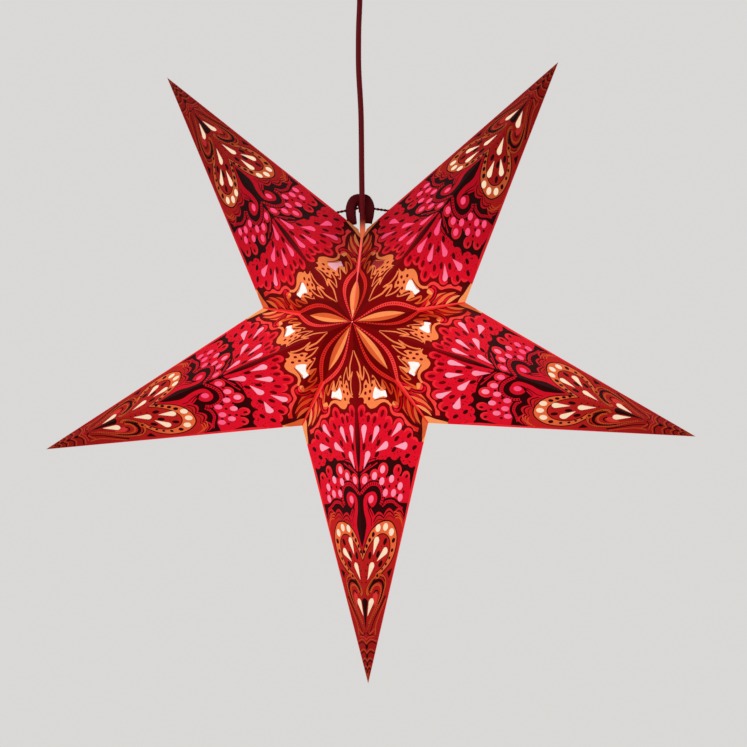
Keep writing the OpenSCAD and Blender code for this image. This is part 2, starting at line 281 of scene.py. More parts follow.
def scallops(path, spacing, depth, steps=7):
    """A row of arcs that stand on a path, as one line."""
    made = []
    for k, (spot, ahead) in enumerate(along(path, spacing / steps)):
        way = (ahead - spot) / max(np.linalg.norm(ahead - spot), 1e-9)
        made.append(spot + sideways(way) * depth * abs(math.sin(math.pi * k / steps)))
    return np.array(made)


class FacetPlan:
    """One facet laid flat: the apex at the origin, the tip on the u axis, the notch at the side."""

    def __init__(self):
        apex = np.array([0, 0, APEX_H])
        tip = np.array([TIP_R, 0, 0])
        notch = NOTCH_R * np.array([math.cos(HALF_ARM), math.sin(HALF_ARM), 0])
        self.apex = apex
        self.along = (tip - apex) / np.linalg.norm(tip - apex)
        self.normal = np.cross(tip - apex, notch - apex)
        self.normal /= np.linalg.norm(self.normal)
        self.across = np.cross(self.normal, self.along)
        self.ridge = np.linalg.norm(tip - apex) / MM
        self.notch = point((notch - apex) @ self.along, (notch - apex) @ self.across) / MM
        self.valley_len = np.linalg.norm(self.notch)

    def valley(self, s, p):
        """s along the valley from the apex, p off it towards the ridge."""
        way = self.notch / self.valley_len
        return np.outer(s, way) + np.outer(p, [way[1], -way[0]])

    def edge(self, s, p):
        """s along the side edge from the notch, p off it towards the ridge."""
        way = point(self.ridge, 0) - self.notch
        way /= np.linalg.norm(way)
        return self.notch + np.outer(s, way) + np.outer(p, [way[1], -way[0]])

    def flat(self, local):
        """From an arm's own frame to u, v and the height above the facet."""
        return (local - self.apex) @ np.column_stack([self.along, self.across, self.normal]) / MM

    def solid(self, flat):
        """From u, v back to the arm's own frame."""
        return self.apex + MM * (np.outer(flat[:, 0], self.along) + np.outer(flat[:, 1], self.across))


# The print: each part gives pairs of an ink and an outline, later ones over earlier ones

# How far outlines run on past a fold, so that no gap is left there
PAST_FOLD = 3.0


def almond(plan, start, end, height, power):
    """Half of a pointed leaf that stands on the valley."""
    s = np.linspace(start, end, 34)
    p = height * np.sin(np.pi * (s - start) / (end - start)) ** power
    return np.vstack([plan.valley(s, p), plan.valley(s[::-1], np.full(len(s), -PAST_FOLD))])


def ticks(ink, path, spacing, length, width):
    """Short marks across a band."""
    return [(ink, seed(spot, ahead, length, width, 6)) for spot, ahead in along(path, spacing)]


def seeds(spots, aim, length, width):
    return [("maroon", seed(spot, aim, length, width)) for spot in spots]


def dots(ink, spots, radius):
    return [(ink, disc(spot, radius, 10)) for spot in spots]


def lobed(lobes, field, outline=1.6, rim=1.3):
    """A crimson field with round lobes along its edge, their bright rims and a dark line round them."""
    made = [("maroon", disc((u, v), r + outline, 20)) for u, v, r in lobes]
    made += [("scarlet", disc((u, v), r, 20)) for u, v, r in lobes]
    made += [("crimson", disc((u + rim, v - 0.3 * rim), r - rim, 18)) for u, v, r in lobes]
    made.append(("crimson", np.array(field, float)))
    return made


def draw_ground(plan):
    far = plan.ridge + 5
    tip_ground = smooth([(197, -4), (190, 7), (185, 14), (182, 24), (184, 36), (189, 46), (193, 62)])
    return [
        ("maroon", np.array([(-5, -5), (far, -5), (far, 110), (-5, 110)])),
        ("brick", np.vstack([tip_ground, [(far, 62), (far, -4)]])),
    ]


LEAF_BEND = -0.14
LEAF_LINE = 1.6
STEM_LEAVES = [
    # Ink, foot and tip along and off the valley, width
    ("crimson", (84, 2), (113, 12.6), 3.0),
    ("tangerine", (90, 2.2), (118, 12.2), 4.6),
    ("crimson", (98, 2), (124, 12), 2.6),
    ("tangerine", (104, 2), (130, 11.2), 4.6),
    ("crimson", (111, 1.6), (133, 9.4), 2.4),
    ("peach", (117, 1.4), (136, 7.4), 3.6),
]


def draw_stem_leaves(plan):
    """Leaves that lean from the stem towards the notch, and the light corner at the notch."""
    made = []
    for ink, foot, tip, width in STEM_LEAVES:
        ends = [plan.valley([s], [p])[0] for s, p in (foot, tip)]
        made.append(("maroon", leaf(*ends, width + LEAF_LINE, LEAF_BEND)))
        made.append((ink, leaf(*ends, width, LEAF_BEND)))
    corner = [plan.notch + [6, 6], *plan.edge([4, 12, 24], [-4, -4, -4])]
    inner = smooth([plan.edge([24], [0.6])[0], plan.edge([15], [4.2])[0], plan.edge([7], [6.6])[0],
                    plan.valley([135], [4.6])[0], plan.valley([131], [-2.0])[0]])
    made.append(("peach", np.vstack([corner, inner])))
    made.append(("maroon", stroke(inner, 1.2)))
    return made


def draw_valley_leaf(plan):
    """The petal on the valley, its beaded rope and the stem that runs on to the notch."""
    made = [
        ("maroon", almond(plan, 0, 91, 14.0, 1.15)),
        ("coral", almond(plan, 1, 88, 12.4, 1.15)),
        ("maroon", almond(plan, 3, 82, 9.2, 1.2)),
        ("peach", almond(plan, 6, 65, 4.5, 0.95)),
    ]
    s = np.linspace(9, 82, 60)
    rope = plan.valley(s, 10.8 * np.sin(np.pi * (s - 2) / 83.5) ** 1.18)
    made += ticks("maroon", rope, 2.9, 1.1, 1.9)
    s = np.linspace(80, plan.valley_len, 12)
    stem = [plan.valley(s, 2.6 - 0.03 * (s - 80)), plan.valley(s[::-1], np.full(len(s), -PAST_FOLD))]
    made.append(("coral", np.vstack(stem)))
    return made


FLAME_LINES = [
    # Ink, path, and the width at its start and at its end
    ("orange", [(25.2, 0.6), (29, 2), (34.3, 4.5), (40.3, 6.9), (45, 7.3), (50, 8.0)], 0.7, 2.5),
    ("orange", [(50, 8.2), (52.4, 9.4), (51, 11), (46.5, 11.9), (41.5, 12)], 2.7, 0.8),
    ("orange", [(41.5, 12), (45.7, 14.6), (50.5, 17.2), (56, 18.6), (61, 19)], 0.8, 1.9),
    ("orange", [(44.2, 3.2), (47.5, 4.2), (51.5, 6), (56.5, 6.8), (62, 6.4), (66, 5)], 1.0, 1.9),
    ("orange", [(45.4, 4), (48.4, 5.6), (50, 7.4)], 1.0, 1.6),
    ("orange", [(50.9, 22.4), (53.5, 25.2), (58.5, 28.6), (62.5, 31), (65.2, 33.4), (66.2, 36.5)], 0.8, 1.9),
    ("amber", [(57.2, 34.4), (60.8, 38.4), (65.6, 41.4), (70, 44)], 1.0, 2.2),
    ("amber", [(69.5, 43.8), (72, 45.6), (70.4, 47.4), (66.2, 46.8), (62.6, 44.6)], 2.3, 0.8),
    ("amber", [(62.6, 44.6), (65.6, 48), (70.4, 50.8), (74.5, 52), (79, 53), (83, 53.5)], 0.8, 2.8),
    ("amber", [(73.5, 55.4), (78, 55.4), (83, 54.4)], 0.8, 2.6),
]
FLAME_FIELD = [(53.6, 14.2), (57, 11), (60.5, 10.6), (63.5, 9), (66, 6.4), (67.8, 3.8), (68.2, 7), (69, 9.3),
               (71.5, 10.6), (74.4, 10), (74.8, 13), (77.5, 14.8), (80.3, 18), (81, 22), (80.4, 26),
               (78.6, 30), (77.8, 34), (78.6, 38), (81.4, 42), (85, 45), (83, 46.6), (79.4, 43), (76.6, 40.8),
               (74, 38), (70, 38.5), (66.4, 37.5), (65.4, 33.5), (61.6, 28.5), (56.5, 25.6), (51, 22.4),
               (55.5, 21.6), (59, 19.8), (57, 16)]


def draw_flames(plan):
    """The orange field round the innermost window, with flame lines towards the middle."""
    made = [(ink, stroke(smooth(path), width, end)) for ink, path, width, end in FLAME_LINES]
    made += [
        ("orange", smooth(FLAME_FIELD, 4, closed=True)),
        ("peach", horn((67.2, 37), (57, 34.4), 5.4, 0.08)),
        ("maroon", horn((65.2, 31.6), (57.6, 25.6), 1.5, 0.05)),
        # Painted shadow: the dark line just past the innermost window, on its side towards the tip
        ("maroon", stroke(smooth([(74, 23.5), (74, 30), (74.6, 36), (77, 42)]), 0.7, 1.6)),
    ]
    made += dots("maroon", [(59.6, 13.6), (54.5, 23.2), (59.9, 21.4), (65.6, 12.7), (65, 18.7), (71.3, 17.2)],
                 1.65)
    sweep = smooth([(83.5, 44.2), (88, 45.6), (91, 48.5), (92.8, 53), (94.5, 58.6), (99, 62), (104.5, 67),
                    (109, 73), (112.5, 80)])
    hook = smooth([(87.2, 48.8), (89, 53), (87.4, 57), (83, 58.8), (76.5, 58.2)])
    made += [("maroon", stroke(sweep, 5.4, 7)), ("maroon", stroke(hook, 5.0))]
    made += [("coral", stroke(sweep, 2.6, 4.0)), ("crimson", stroke(hook, 2.2, 1.2))]
    bulb = [(79.4, 48), (80.4, 51.5), (82.6, 54.8), (85.8, 54.8), (86.6, 52), (85.2, 48.6), (82.4, 46.6)]
    made.append(("coral", smooth(bulb, 4, closed=True)))
    half_bulb = [(79.4, 48), (80.4, 51.5), (82.2, 54.4), (84, 54.6), (83.6, 50), (82, 46.8)]
    made.append(("peach", smooth(half_bulb, 4, closed=True)))
    return made


FAN_FOCUS = (137, 1)
FAN_CHANCE = 5
FAN_STIPPLE = 260


def draw_fan(plan):
    """The crimson fan with its seeds and stipple."""
    lobes = [(79.5, 7, 4.8), (88.5, 14, 5.5), (91, 23, 5.8), (87.8, 33.3, 6.6), (97.5, 40, 6.2),
             (103.5, 53.5, 7.4), (114.5, 65.5, 7.2), (124, 73, 6.6)]
    field = [(79, 3), (80, 10), (90, 14), (93, 23), (89, 33), (98, 40), (104, 54), (115, 66), (123, 77),
             (126, 92), (150, 82), (144.5, 72), (140, 65), (134.8, 58), (131.6, 54), (130.8, 48), (129, 41),
             (128.6, 30), (128, 22), (130.5, 13), (133.5, 6), (134, 1), (100, 1)]
    made = lobed(lobes, field)
    hem = [(125.2, 32, 6.4), (126.6, 48, 7.2), (133.4, 62, 7.6), (139.4, 70, 6.0)]
    made += [("crimson", disc((u, v), r, 20)) for u, v, r in hem]
    chance = random.Random(FAN_CHANCE)
    for _ in range(FAN_STIPPLE):
        u, v = chance.uniform(84, 140), chance.uniform(4, 78)
        if 0.62 * (u - 82) + 4 > 0.42 * v:
            made.append(("maroon", disc((u, v), chance.uniform(0.4, 0.75), 5)))
    made += seeds([(82.5, 6.5), (89, 15), (91.5, 22.8), (87.8, 33.3), (99.5, 37), (107, 42), (107, 16.7),
                   (113.3, 26.7), (114.4, 50.6), (115, 67.5), (123.4, 24), (123.6, 46.5), (127.5, 74),
                   (133.2, 64), (113, 8), (100, 28), (106, 60.5), (105, 51)], FAN_FOCUS, 7.0, 4.1)
    for k in range(4):
        hair = smooth([(133.5, 4), (126.5 + 2.2 * k, 14 + 4 * k), (127 + 3 * k, 23 + 8 * k)])
        made.append(("maroon", stroke(hair, 0.5, 1.0)))
    spindle = smooth([(73, 0.4), (86, 2.6), (104, 3.6), (122, 2.4), (134, 0.5)])
    made.append(("maroon", np.vstack([spindle, [(134, -4), (73, -4)]])))
    return made


def draw_dot_field(plan):
    """The crimson field of round windows below the fan, and its beaded lower rope."""
    lobes = [(142.7, 6.9, 5.8), (142, 19.5, 6.2), (139.4, 31, 7.0), (143.8, 50, 5.6), (152.4, 60.6, 5.8)]
    field = [(142, 2), (141, 14), (140, 29), (147, 38), (148, 50), (152.6, 58), (156, 66.4), (166, 66),
             (177, 61.5), (173, 47), (168.5, 42), (166.5, 33), (163, 28), (158, 27), (152.5, 25),
             (148.5, 19.5), (146.8, 13), (148, 5), (150, 2)]
    dark = smooth([(131.5, 8), (130.5, 22), (133, 35), (137.4, 46), (142.6, 56), (147, 66), (152, 69),
                   (158, 68)])
    made = [("maroon", stroke(dark, 5, 2.5))] + lobed(lobes, field)
    made += [("crimson", stroke(smooth([(137, 2), (133.5, 10 + 5 * k), (131, 16 + 8 * k)]), 0.5, 1.3))
             for k in range(2)]
    made += dots("maroon", [(142.5, 13.4), (145.8, 25.4), (146.2, 35.5), (155.4, 32), (156, 38.6),
                            (158, 47.5), (166.8, 48.5), (165.5, 57), (149.5, 39.5), (161.5, 55),
                            (152.5, 50.5)], 1.4)
    made += seeds([(143.4, 51.6), (152, 62)], (160, 44), 4.2, 2.6)
    rope = smooth([(168, 25.5), (171.5, 28), (169.5, 34), (171, 42), (176, 48), (181, 55)])
    made += [("maroon", stroke(rope, 7)), ("crimson", stroke(rope, 3.4, 2.2))]
    made += ticks("maroon", rope, 2.4, 1.0, 2.0)
    return made


SCROLL = (162.8, 14.8)


def draw_scroll(plan):
    """The dark scroll on the ridge: a head that curls over its window under a beaded rope, and its tail."""
    rope = smooth([(170, 26), (165, 28.9), (157.5, 28.2), (151, 23.6), (148.6, 14), (152.2, 4.7),
                   (157, -0.6)])
    tail = smooth([(155.4, 13), (156.2, 8.6), (158.6, 5.4), (162.4, 4.2), (168, 4.2), (173, 4.8), (179, 6.3),
                   (185, 6.8), (190, 5.5), (196, 3.5), (203, 0.3)])
    web = smooth([(206, 4), (197, 11), (190, 17), (185, 21.5), (179.6, 18.4), (173.5, 15.2), (168.6, 12.2),
                  (166, 10.4), (163, 11)])
    strands = [[(168.4, 10.8), (173, 12.8), (178.6, 16)], [(169, 9.4), (175, 11.2), (181, 13.4), (187, 12.8)]]
    wedge = smooth([(161, 10.3), (164, 9.8), (167, 10.4), (170.5, 13)])
    made = [("maroon", stroke(rope, 6.4)),
            ("maroon", np.vstack([rope, [(190, -3), (186, 14), (182, 26), (176, 31)]])),
            ("crimson", stroke(rope, 3.4))]
    made += ticks("maroon", rope, 2.6, 1.1, 2.9)
    made += [("maroon", np.vstack([tail, [(203, -3), (155.4, -3)]])),
             ("crimson", np.vstack([tail, web])),
             ("crimson", disc(SCROLL, 7.3, 22)),
             ("maroon", stroke(wedge, 0.5, 3.0))]
    made += [("maroon", stroke(smooth(strand), 1.1, 0.7)) for strand in strands]
    return made


def draw_scallops(plan):
    """Rows of dim scallops above the paisley, and the amber strokes beside them."""
    def row(k):
        foot = smooth([(182.5 + k, 15), (181.5 + k, 28.5), (182.5 + k, 43), (187 + k, 57)])
        return scallops(foot, 13.4, 5.6 - 0.5 * k)

    made = [("brick", np.vstack([row(0), [(206, 57), (206, 14)]]))]
    made += [(ink, stroke(row(k), width)) for ink, k, width in (
        ("crimson", 0.3, 1.3), ("maroon", 1.9, 1.2), ("crimson", 3.2, 0.9), ("maroon", 4.6, 0.6))]
    for k in range(3):
        path = smooth([(181 + 3 * k, 43 + k), (183.4 + 3 * k, 49 + k), (191 + 3.4 * k, 54)])
        made.append(("amber", stroke(path, 0.8, 0.5)))
    return made


PAISLEY_AIM = (242, 4)
BAND_SEEDS = [(195.3, 15, 4.8), (199.2, 10, 4.2), (203.8, 5.8, 3.8), (208.2, 2.6, 3.2), (207.3, 41, 5.0),
              (216, 38.6, 3.6), (222.3, 34.6, 3.1), (226.8, 29.8, 2.7), (230.2, 24.6, 2.4)]


def draw_paisley(plan):
    """The tangerine paisley arch round the cream windows."""
    outer = smooth([(219, -2), (205, 3), (193, 11), (188, 20), (186.8, 30), (190, 39), (198.5, 44.2),
                    (207.5, 45), (218.5, 41.5), (227, 34.5), (232, 26), (235.6, 17.6)])
    inner = smooth([(231.4, 16.4), (228.3, 24.6), (222.5, 31.6), (215, 35.6), (206, 36), (199.5, 31.5),
                    (197.2, 25), (198.6, 18.4), (202.6, 11.4), (208.6, 5.4), (217, -0.8)])
    made = [("maroon", stroke(outer, 2.4)),
            ("brick", np.vstack([outer, inner[:1], [(242, 6), (242, -3)]])),
            ("tangerine", np.vstack([outer, inner])),
            ("maroon", stroke(inner, 1.0))]
    made += [("maroon", seed((u, v), PAISLEY_AIM, size, 0.86 * size)) for u, v, size in BAND_SEEDS]
    made += seeds([(205.6, 30), (213.5, 9.4), (215, 20), (224.6, 22.5)], PAISLEY_AIM, 7, 4.3)
    made += dots("maroon", [(226, 3.5), (232, 3.5), (237, 3.2), (221, 6), (229, 9)], 0.8)
    made += dots("maroon", [(209, 25), (219, 14), (208, 19), (227, 14), (213, 33), (201, 24)], 0.5)
    return made


def draw_curl(plan):
    """The small curl below the paisley, arc in arc, that runs out to the tip."""
    outer = smooth([(249.6, 5.4), (246, 3.6), (241.6, 5.8), (237, 11.4), (234.6, 18), (235.8, 24),
                    (240, 27.6), (245, 28.2), (250, 26.4), (256, 23.4), (262, 18.8), (268, 12.6), (274, 6.8),
                    (281, 2)])
    middle = smooth([(247.6, 8.4), (244.4, 10.4), (242.6, 14), (243, 18.4), (246, 21.6), (251, 21.6),
                     (257, 18.8), (263, 14.2), (269, 9), (276, 4)])
    crescent = smooth([(245.4, 6.6), (241.4, 10.4), (239.2, 15.6), (239.8, 20.8), (243, 24.2), (248, 24.8),
                       (254, 22.4), (261, 17)])
    core = smooth([(249.6, 12.4), (247.8, 15), (249, 17.8), (252, 18.4)])
    slits = [[(236.2, 21.6), (238.6, 25.8), (242.6, 27.8)], [(236.4, 14.2), (239, 9.6), (242.6, 5.4)]]
    corner = [(232.6, 38), (234.4, 30.8), (240.8, 32.6), (237.6, 35)]
    made = [("maroon", np.array(corner, float)), ("maroon", stroke(outer, 4.2, 1.6)),
            ("maroon", stroke(crescent, 3.8, 1.8)), ("coral", leaf((248.6, 14.4), (262, 13), 6.4)),
            ("amber", stroke(outer, 3.0, 1.0)), ("amber", stroke(middle, 2.2, 0.9)),
            ("maroon", stroke(core, 1.8, 0.8)), ("amber", disc((234.6, 17.9), 2.8, 14))]
    made += [("maroon", stroke(smooth(slit), 0.9, 0.6)) for slit in slits]
    made += ticks("brick", outer, 2.1, 0.8, 1.3) + ticks("brick", middle, 2.1, 0.8, 1.2)
    return made + dots("maroon", [(234.6, 17.9)], 1.5)


TIP_STEPS = (291, 300, 308, 315)


def draw_tip(plan):
    """The dark spindle between the lowest windows, and the strokes and arches that run out to the tip."""
    spindle = smooth([(250.6, -0.5), (252, 2.2), (255, 4), (259, 3.2), (266, 2), (274, 1.1), (282, -0.3)])
    made = [
        ("maroon", np.vstack([spindle, [(282, -4), (250.6, -4)]])),
        ("maroon", stroke(smooth([(256, 27.4), (265, 20), (274, 12), (284, 6)]), 1.8, 1.0)),
        ("amber", stroke(smooth([(259, 28), (271, 19), (280, 13.4), (289, 12)]), 0.8, 1.3)),
        ("amber", stroke(smooth([(286.6, 3.4), (285, 7.4), (282.8, 11.6)]), 1.3, 0.9)),
        ("maroon", stroke(smooth([(283.4, 1), (287.4, 5), (287, 10)]), 1.1, 0.7)),
        ("coral", stroke(smooth([(290, -0.4), (288.6, 4.6), (290.4, 11)]), 1.3, 0.9)),
        ("amber", stroke(np.array([(319, 0), (325, 0), (331, 0)], float), 3.0, 1.0)),
    ]
    for u in TIP_STEPS:
        reach = (plan.ridge - u) * plan.notch[1] / (plan.ridge - plan.notch[0])
        arch = smooth([(u + 2.6, -0.3), (u + 0.4, 0.36 * reach), (u + 4.4, 0.78 * reach)])
        made += [("amber", stroke(arch, 1.2, 0.8)), ("maroon", stroke(arch + [2.4, 0], 1.2, 0.9))]
        made.append(("maroon", disc((u + 6, -0.2), 0.11 * reach + 0.4, 12)))
    return made


def draw_edge(plan):
    """The line along the side edge."""
    length = np.linalg.norm(point(plan.ridge, 0) - plan.notch)
    s = np.linspace(30, length, 40)
    width = np.interp(s, [30, 45, 95, 130, length], [1.8, 4.0, 2.4, 1.4, 0.6])
    outline = np.vstack([plan.edge(s, np.full(len(s), -PAST_FOLD)), plan.edge(s[::-1], width[::-1])])
    return [("scarlet", outline)]


PRINT_PARTS = (draw_ground, draw_stem_leaves, draw_valley_leaf, draw_flames, draw_fan, draw_dot_field,
               draw_scroll, draw_scallops, draw_paisley, draw_tip, draw_curl, draw_edge)

# Shade of a glued flap along the valley. Where there is no flap, it is shrunk and put off the card
SHADE_STRIP = 16.0
TINY = 0.001
OFF_CARD = -50.0


def facet_print(plan):
    made = []
    for part in PRINT_PARTS:
        made += part(plan)
    return made


# Printed card arms: the frame's arms with their facets cut along the print

def merged_triangles(name):
    """A CAD node's corners and triangles, with doubled corners merged."""
    body = bmesh.new()
    body.from_mesh(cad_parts[name].data)
    bmesh.ops.remove_doubles(body, verts=body.verts, dist=CAD_WELD)
    bmesh.ops.triangulate(body, faces=body.faces)
    corners = np.array([v.co for v in body.verts])
    triangles = [tuple(v.index for v in f.verts) for f in body.faces]
    body.free()
    return corners, triangles


def open_edges(triangles):
    """Edges with a triangle on one side only, as pairs of corners."""
    edges = {(a, b) for t in triangles for a, b in zip(t, t[1:] + t[:1])}
    return [(a, b) for a, b in edges if (b, a) not in edges]


def loops_of(triangles):
    """The closed border loops of a patch of triangles."""
    following = dict(open_edges(triangles))
    loops = []
    while following:
        start = next(iter(following))
        loop = [start]
        while (step := following.pop(loop[-1])) != start:
            loop.append(step)
        loops.append(loop)
    return loops


def flat_area(outline):
    """Area of an outline, below zero if it runs clockwise."""
    x, y = outline[:, 0], outline[:, 1]
    return (x @ np.roll(y, -1) - y @ np.roll(x, -1)) / 2


# What the triangulation gives: triangles inside outlines
INSIDE_ONLY = 1


def cut_facet(flat, loops, layers, strip):
    """Triangulates a facet along its borders and the print.

    Gives the points, the border corner that each was, the triangles, and the ink and shade of each.
    """
    loops = sorted(loops, key=lambda loop: -abs(flat_area(flat[loop])))
    loops = [loop if flat_area(flat[loop]) > 0 else loop[::-1] for loop in loops]
    border = [i for loop in loops for i in loop]
    points = [Vector(flat[i]) for i in border]
    outlines, start = [], 0
    for loop in loops:
        outlines.append(list(range(start, start + len(loop))))
        start += len(loop)
    faces = [outlines[0]]
    for shape in [outline for _, outline in layers] + [strip]:
        ring = list(range(len(points), len(points) + len(shape)))
        faces.append(ring if flat_area(shape) > 0 else ring[::-1])
        points += [Vector(p) for p in shape]
    strip_id = len(faces) - 1
    faces += outlines[1:]
    made, _, triangles, origin, _, inside = delaunay_2d_cdt(points, [], faces, INSIDE_ONLY, PRINT_SNAP, True)
    was = [next((border[k] for k in ids if k < len(border)), None) for ids in origin]
    kept, inks, shades = [], [], []
    for triangle, ids in zip(triangles, inside):
        if 0 not in ids or max(ids) > strip_id:
            continue
        kept.append(triangle)
        inks.append(layers[max(i for i in ids if i < strip_id) - 1][0])
        shades.append(1.0 if strip_id in ids else 0.0)
    return np.array([tuple(p) for p in made]), was, kept, inks, shades


def split_triangle(triangle, extra):
    """Cuts a triangle so that it meets the new points on its edges."""
    for k in range(3):
        a, b, c = triangle[k], triangle[(k + 1) % 3], triangle[(k + 2) % 3]
        if (a, b) in extra:
            chain = [a, *extra[a, b], b]
            return [piece for p, q in zip(chain, chain[1:]) for piece in split_triangle((c, p, q), extra)]
    return [triangle]


def edge_points(flat, loops, spots):
    """New points that lie on a facet's border, in order along the border edge that each lies on."""
    pairs = [(a, b) for loop in loops for a, b in zip(loop, loop[1:] + loop[:1])]
    start = np.array([flat[a] for a, _ in pairs])
    run = np.array([flat[b] for _, b in pairs]) - start
    found = {}
    for index, spot in spots:
        t = ((spot - start) * run).sum(1) / (run * run).sum(1)
        gap = np.linalg.norm(start + np.clip(t, 0, 1)[:, None] * run - spot, axis=1)
        best = int(gap.argmin())
        found.setdefault(pairs[best], []).append((t[best], index))
    extra = {}
    for (a, b), hits in found.items():
        chain = [index for _, index in sorted(hits)]
        extra[a, b] = chain
        extra[b, a] = chain[::-1]
    return extra


def printed_arm(name, plan, layers):
    """Corners, triangles, inks and shades of one arm."""
    corners, rest = merged_triangles("arm_" + name)
    angle = math.radians(ARM_ANGLES[name])
    turn = np.array([[math.cos(angle), 0, math.sin(angle)], [-math.sin(angle), 0, math.cos(angle)],
                     [0, -1, 0]])
    middle = np.array([0, 0, STAR_Z])
    triangles, inks, shades, cut = [], [], [], set()
    for side in (1, -1):
        strip = plan.valley([-2, plan.valley_len + 5, plan.valley_len + 5, -2],
                            [-4, -4, SHADE_STRIP, SHADE_STRIP])
        if side < 0:
            strip = strip * TINY + OFF_CARD
        for over in (1, -1):
            flip = np.array([1, side, over])
            flat3 = plan.flat((corners - middle) @ turn.T * flip)
            level = np.abs(flat3[:, 2]) < FACET_LEVEL
            patch = [t for t in rest if level[list(t)].all()]
            if side * over < 0:
                patch = [t[::-1] for t in patch]
            patch_set = {tuple(sorted(t)) for t in patch}
            rest = [t for t in rest if tuple(sorted(t)) not in patch_set]
            loops = loops_of(patch)
            flat = flat3[:, :2]
            points, was, made, made_inks, made_shades = cut_facet(flat, loops, layers, strip)
            used = sorted({k for t in made for k in t})
            fresh = [k for k in used if was[k] is None]
            place = {k: was[k] for k in used if was[k] is not None}
            place.update({k: len(corners) + n for n, k in enumerate(fresh)})
            world = plan.solid(points[fresh]) * flip @ turn + middle
            corners = np.vstack([corners, world])
            rim = {a for a, _ in open_edges(made)}
            spots = [(place[k], points[k]) for k in rim if was[k] is None]
            extra = edge_points(flat, loops, spots)
            rest = [piece for t in rest for piece in split_triangle(t, extra)]
            outer = max(loops, key=lambda loop: abs(flat_area(flat[loop])))
            holes = {k for loop in loops if loop is not outer for k in loop}
            cut |= holes
            cut |= {k for ends, chain in extra.items() if holes.issuperset(ends) for k in chain}
            outward = [tuple(place[k] for k in t) for t in made]
            triangles += [t[::-1] for t in outward] if side * over < 0 else outward
            inks += made_inks
            shades += made_shades
    triangles += rest
    # Card next to a window's cut takes the painted shade of the cut edges; the rest is lit card
    inks += ["cut_edge" if cut.intersection(t) else "card" for t in rest]
    shades += [0.0] * len(rest)
    return corners, triangles, inks, shades


def place_object(name, data):
    """An object at the origin with this data, in the scene."""
    piece = bpy.data.objects.new(name, data)
    bpy.context.scene.collection.objects.link(piece)
    return piece


def mesh_piece(name, corners, faces, materials, indices=None):
    mesh = bpy.data.meshes.new(name)
    mesh.from_pydata([tuple(p) for p in corners], [], faces)
    for material in materials:
        mesh.materials.append(material)
    if indices is not None:
        mesh.polygons.foreach_set("material_index", indices)
    mesh.update()
    return place_object(name, mesh)


def rework(mesh, change):
    """Changes a mesh by a function that works on it as a bmesh."""
    body = bmesh.new()
    body.from_mesh(mesh)
    change(body)
    body.to_mesh(mesh)
    body.free()


# Node helpers and the groups that materials share

def feed(tree, source, target):
    """Links an output to an input, or sets the input to a number, a colour, a place or a material."""
    if isinstance(source, bpy.types.NodeSocket):
        tree.links.new(source, target)
    elif hasattr(source, "__len__"):
        target.default_value = (*source[:3], 1)[:len(target.default_value)]
    else:
        target.default_value = source


def add(tree, kind, *sources, **settings):
    """A node with these settings, its first inputs fed in order."""
    node = tree.nodes.new(kind)
    for key, value in settings.items():
        setattr(node, key, value)
    for source, target in zip(sources, node.inputs):
        feed(tree, source, target)
    return node


def put(tree, node, **sources):
    """Feeds a node's inputs by their names, with _ for each space."""
    for label, source in sources.items():
        feed(tree, source, node.inputs[label.replace("_", " ")])
    return node


def math_node(tree, operation, first, second):
    return add(tree, "ShaderNodeMath", first, second, operation=operation).outputs[0]


def product(tree, first, *others):
    for other in others:
        first = math_node(tree, "MULTIPLY", first, other)
    return first


def linear(tree, value, factor, offset):
    return math_node(tree, "ADD", product(tree, value, factor), offset)


def vector_node(tree, operation, *sources):
    node = add(tree, "ShaderNodeVectorMath", *sources, operation=operation)
    return node.outputs["Value" if operation in ("DISTANCE", "LENGTH") else "Vector"]


def scaled(tree, colour, factor):
    node = add(tree, "ShaderNodeVectorMath", colour, operation="SCALE")
    return put(tree, node, Scale=factor).outputs["Vector"]


def tinted(tree, first, second):
    """Two colours multiplied."""
    return vector_node(tree, "MULTIPLY", first, second)


# Where a mix node takes its two colours and where it gives the mixed one
MIX_TAKES = (6, 7)
MIX_GIVES = 2


def mixed(tree, factor, first, second):
    """A colour between two others."""
    mix = add(tree, "ShaderNodeMix", factor, data_type="RGBA")
    for source, index in zip((first, second), MIX_TAKES):
        feed(tree, source, mix.inputs[index])
    return mix.outputs[MIX_GIVES]


def ramp_node(tree, value, span, ends=(0.0, 1.0)):
    """A smooth change from one end to the other while a value goes through a span."""
    ramp = add(tree, "ShaderNodeMapRange", value, *span, *ends, interpolation_type="SMOOTHSTEP")
    return ramp.outputs["Result"]


def object_place(tree):
    return add(tree, "ShaderNodeTexCoord").outputs["Object"]


def object_axes(tree):
    return add(tree, "ShaderNodeSeparateXYZ", object_place(tree)).outputs


def lamp_distance(tree):
    return vector_node(tree, "DISTANCE", object_place(tree), LAMP)


def noise(tree, **sources):
    """Noise on Object coordinates."""
    return put(tree, add(tree, "ShaderNodeTexNoise", object_place(tree)), **sources).outputs["Fac"]


def new_group(name, inputs, outputs):
    """A shader group, what its inputs give and what its outputs take. Inputs are numbers or colours."""
    tree = bpy.data.node_groups.new(name, "ShaderNodeTree")
    for label, value in inputs.items():
        kind = "NodeSocketFloat" if isinstance(value, float) else "NodeSocketColor"
        tree.interface.new_socket(name=label, in_out="INPUT", socket_type=kind).default_value = value
    for label in outputs:
        kind = "NodeSocketColor" if label == "Colour" else "NodeSocketFloat"
        tree.interface.new_socket(name=label, in_out="OUTPUT", socket_type=kind)
    return tree, add(tree, "NodeGroupInput").outputs, add(tree, "NodeGroupOutput")


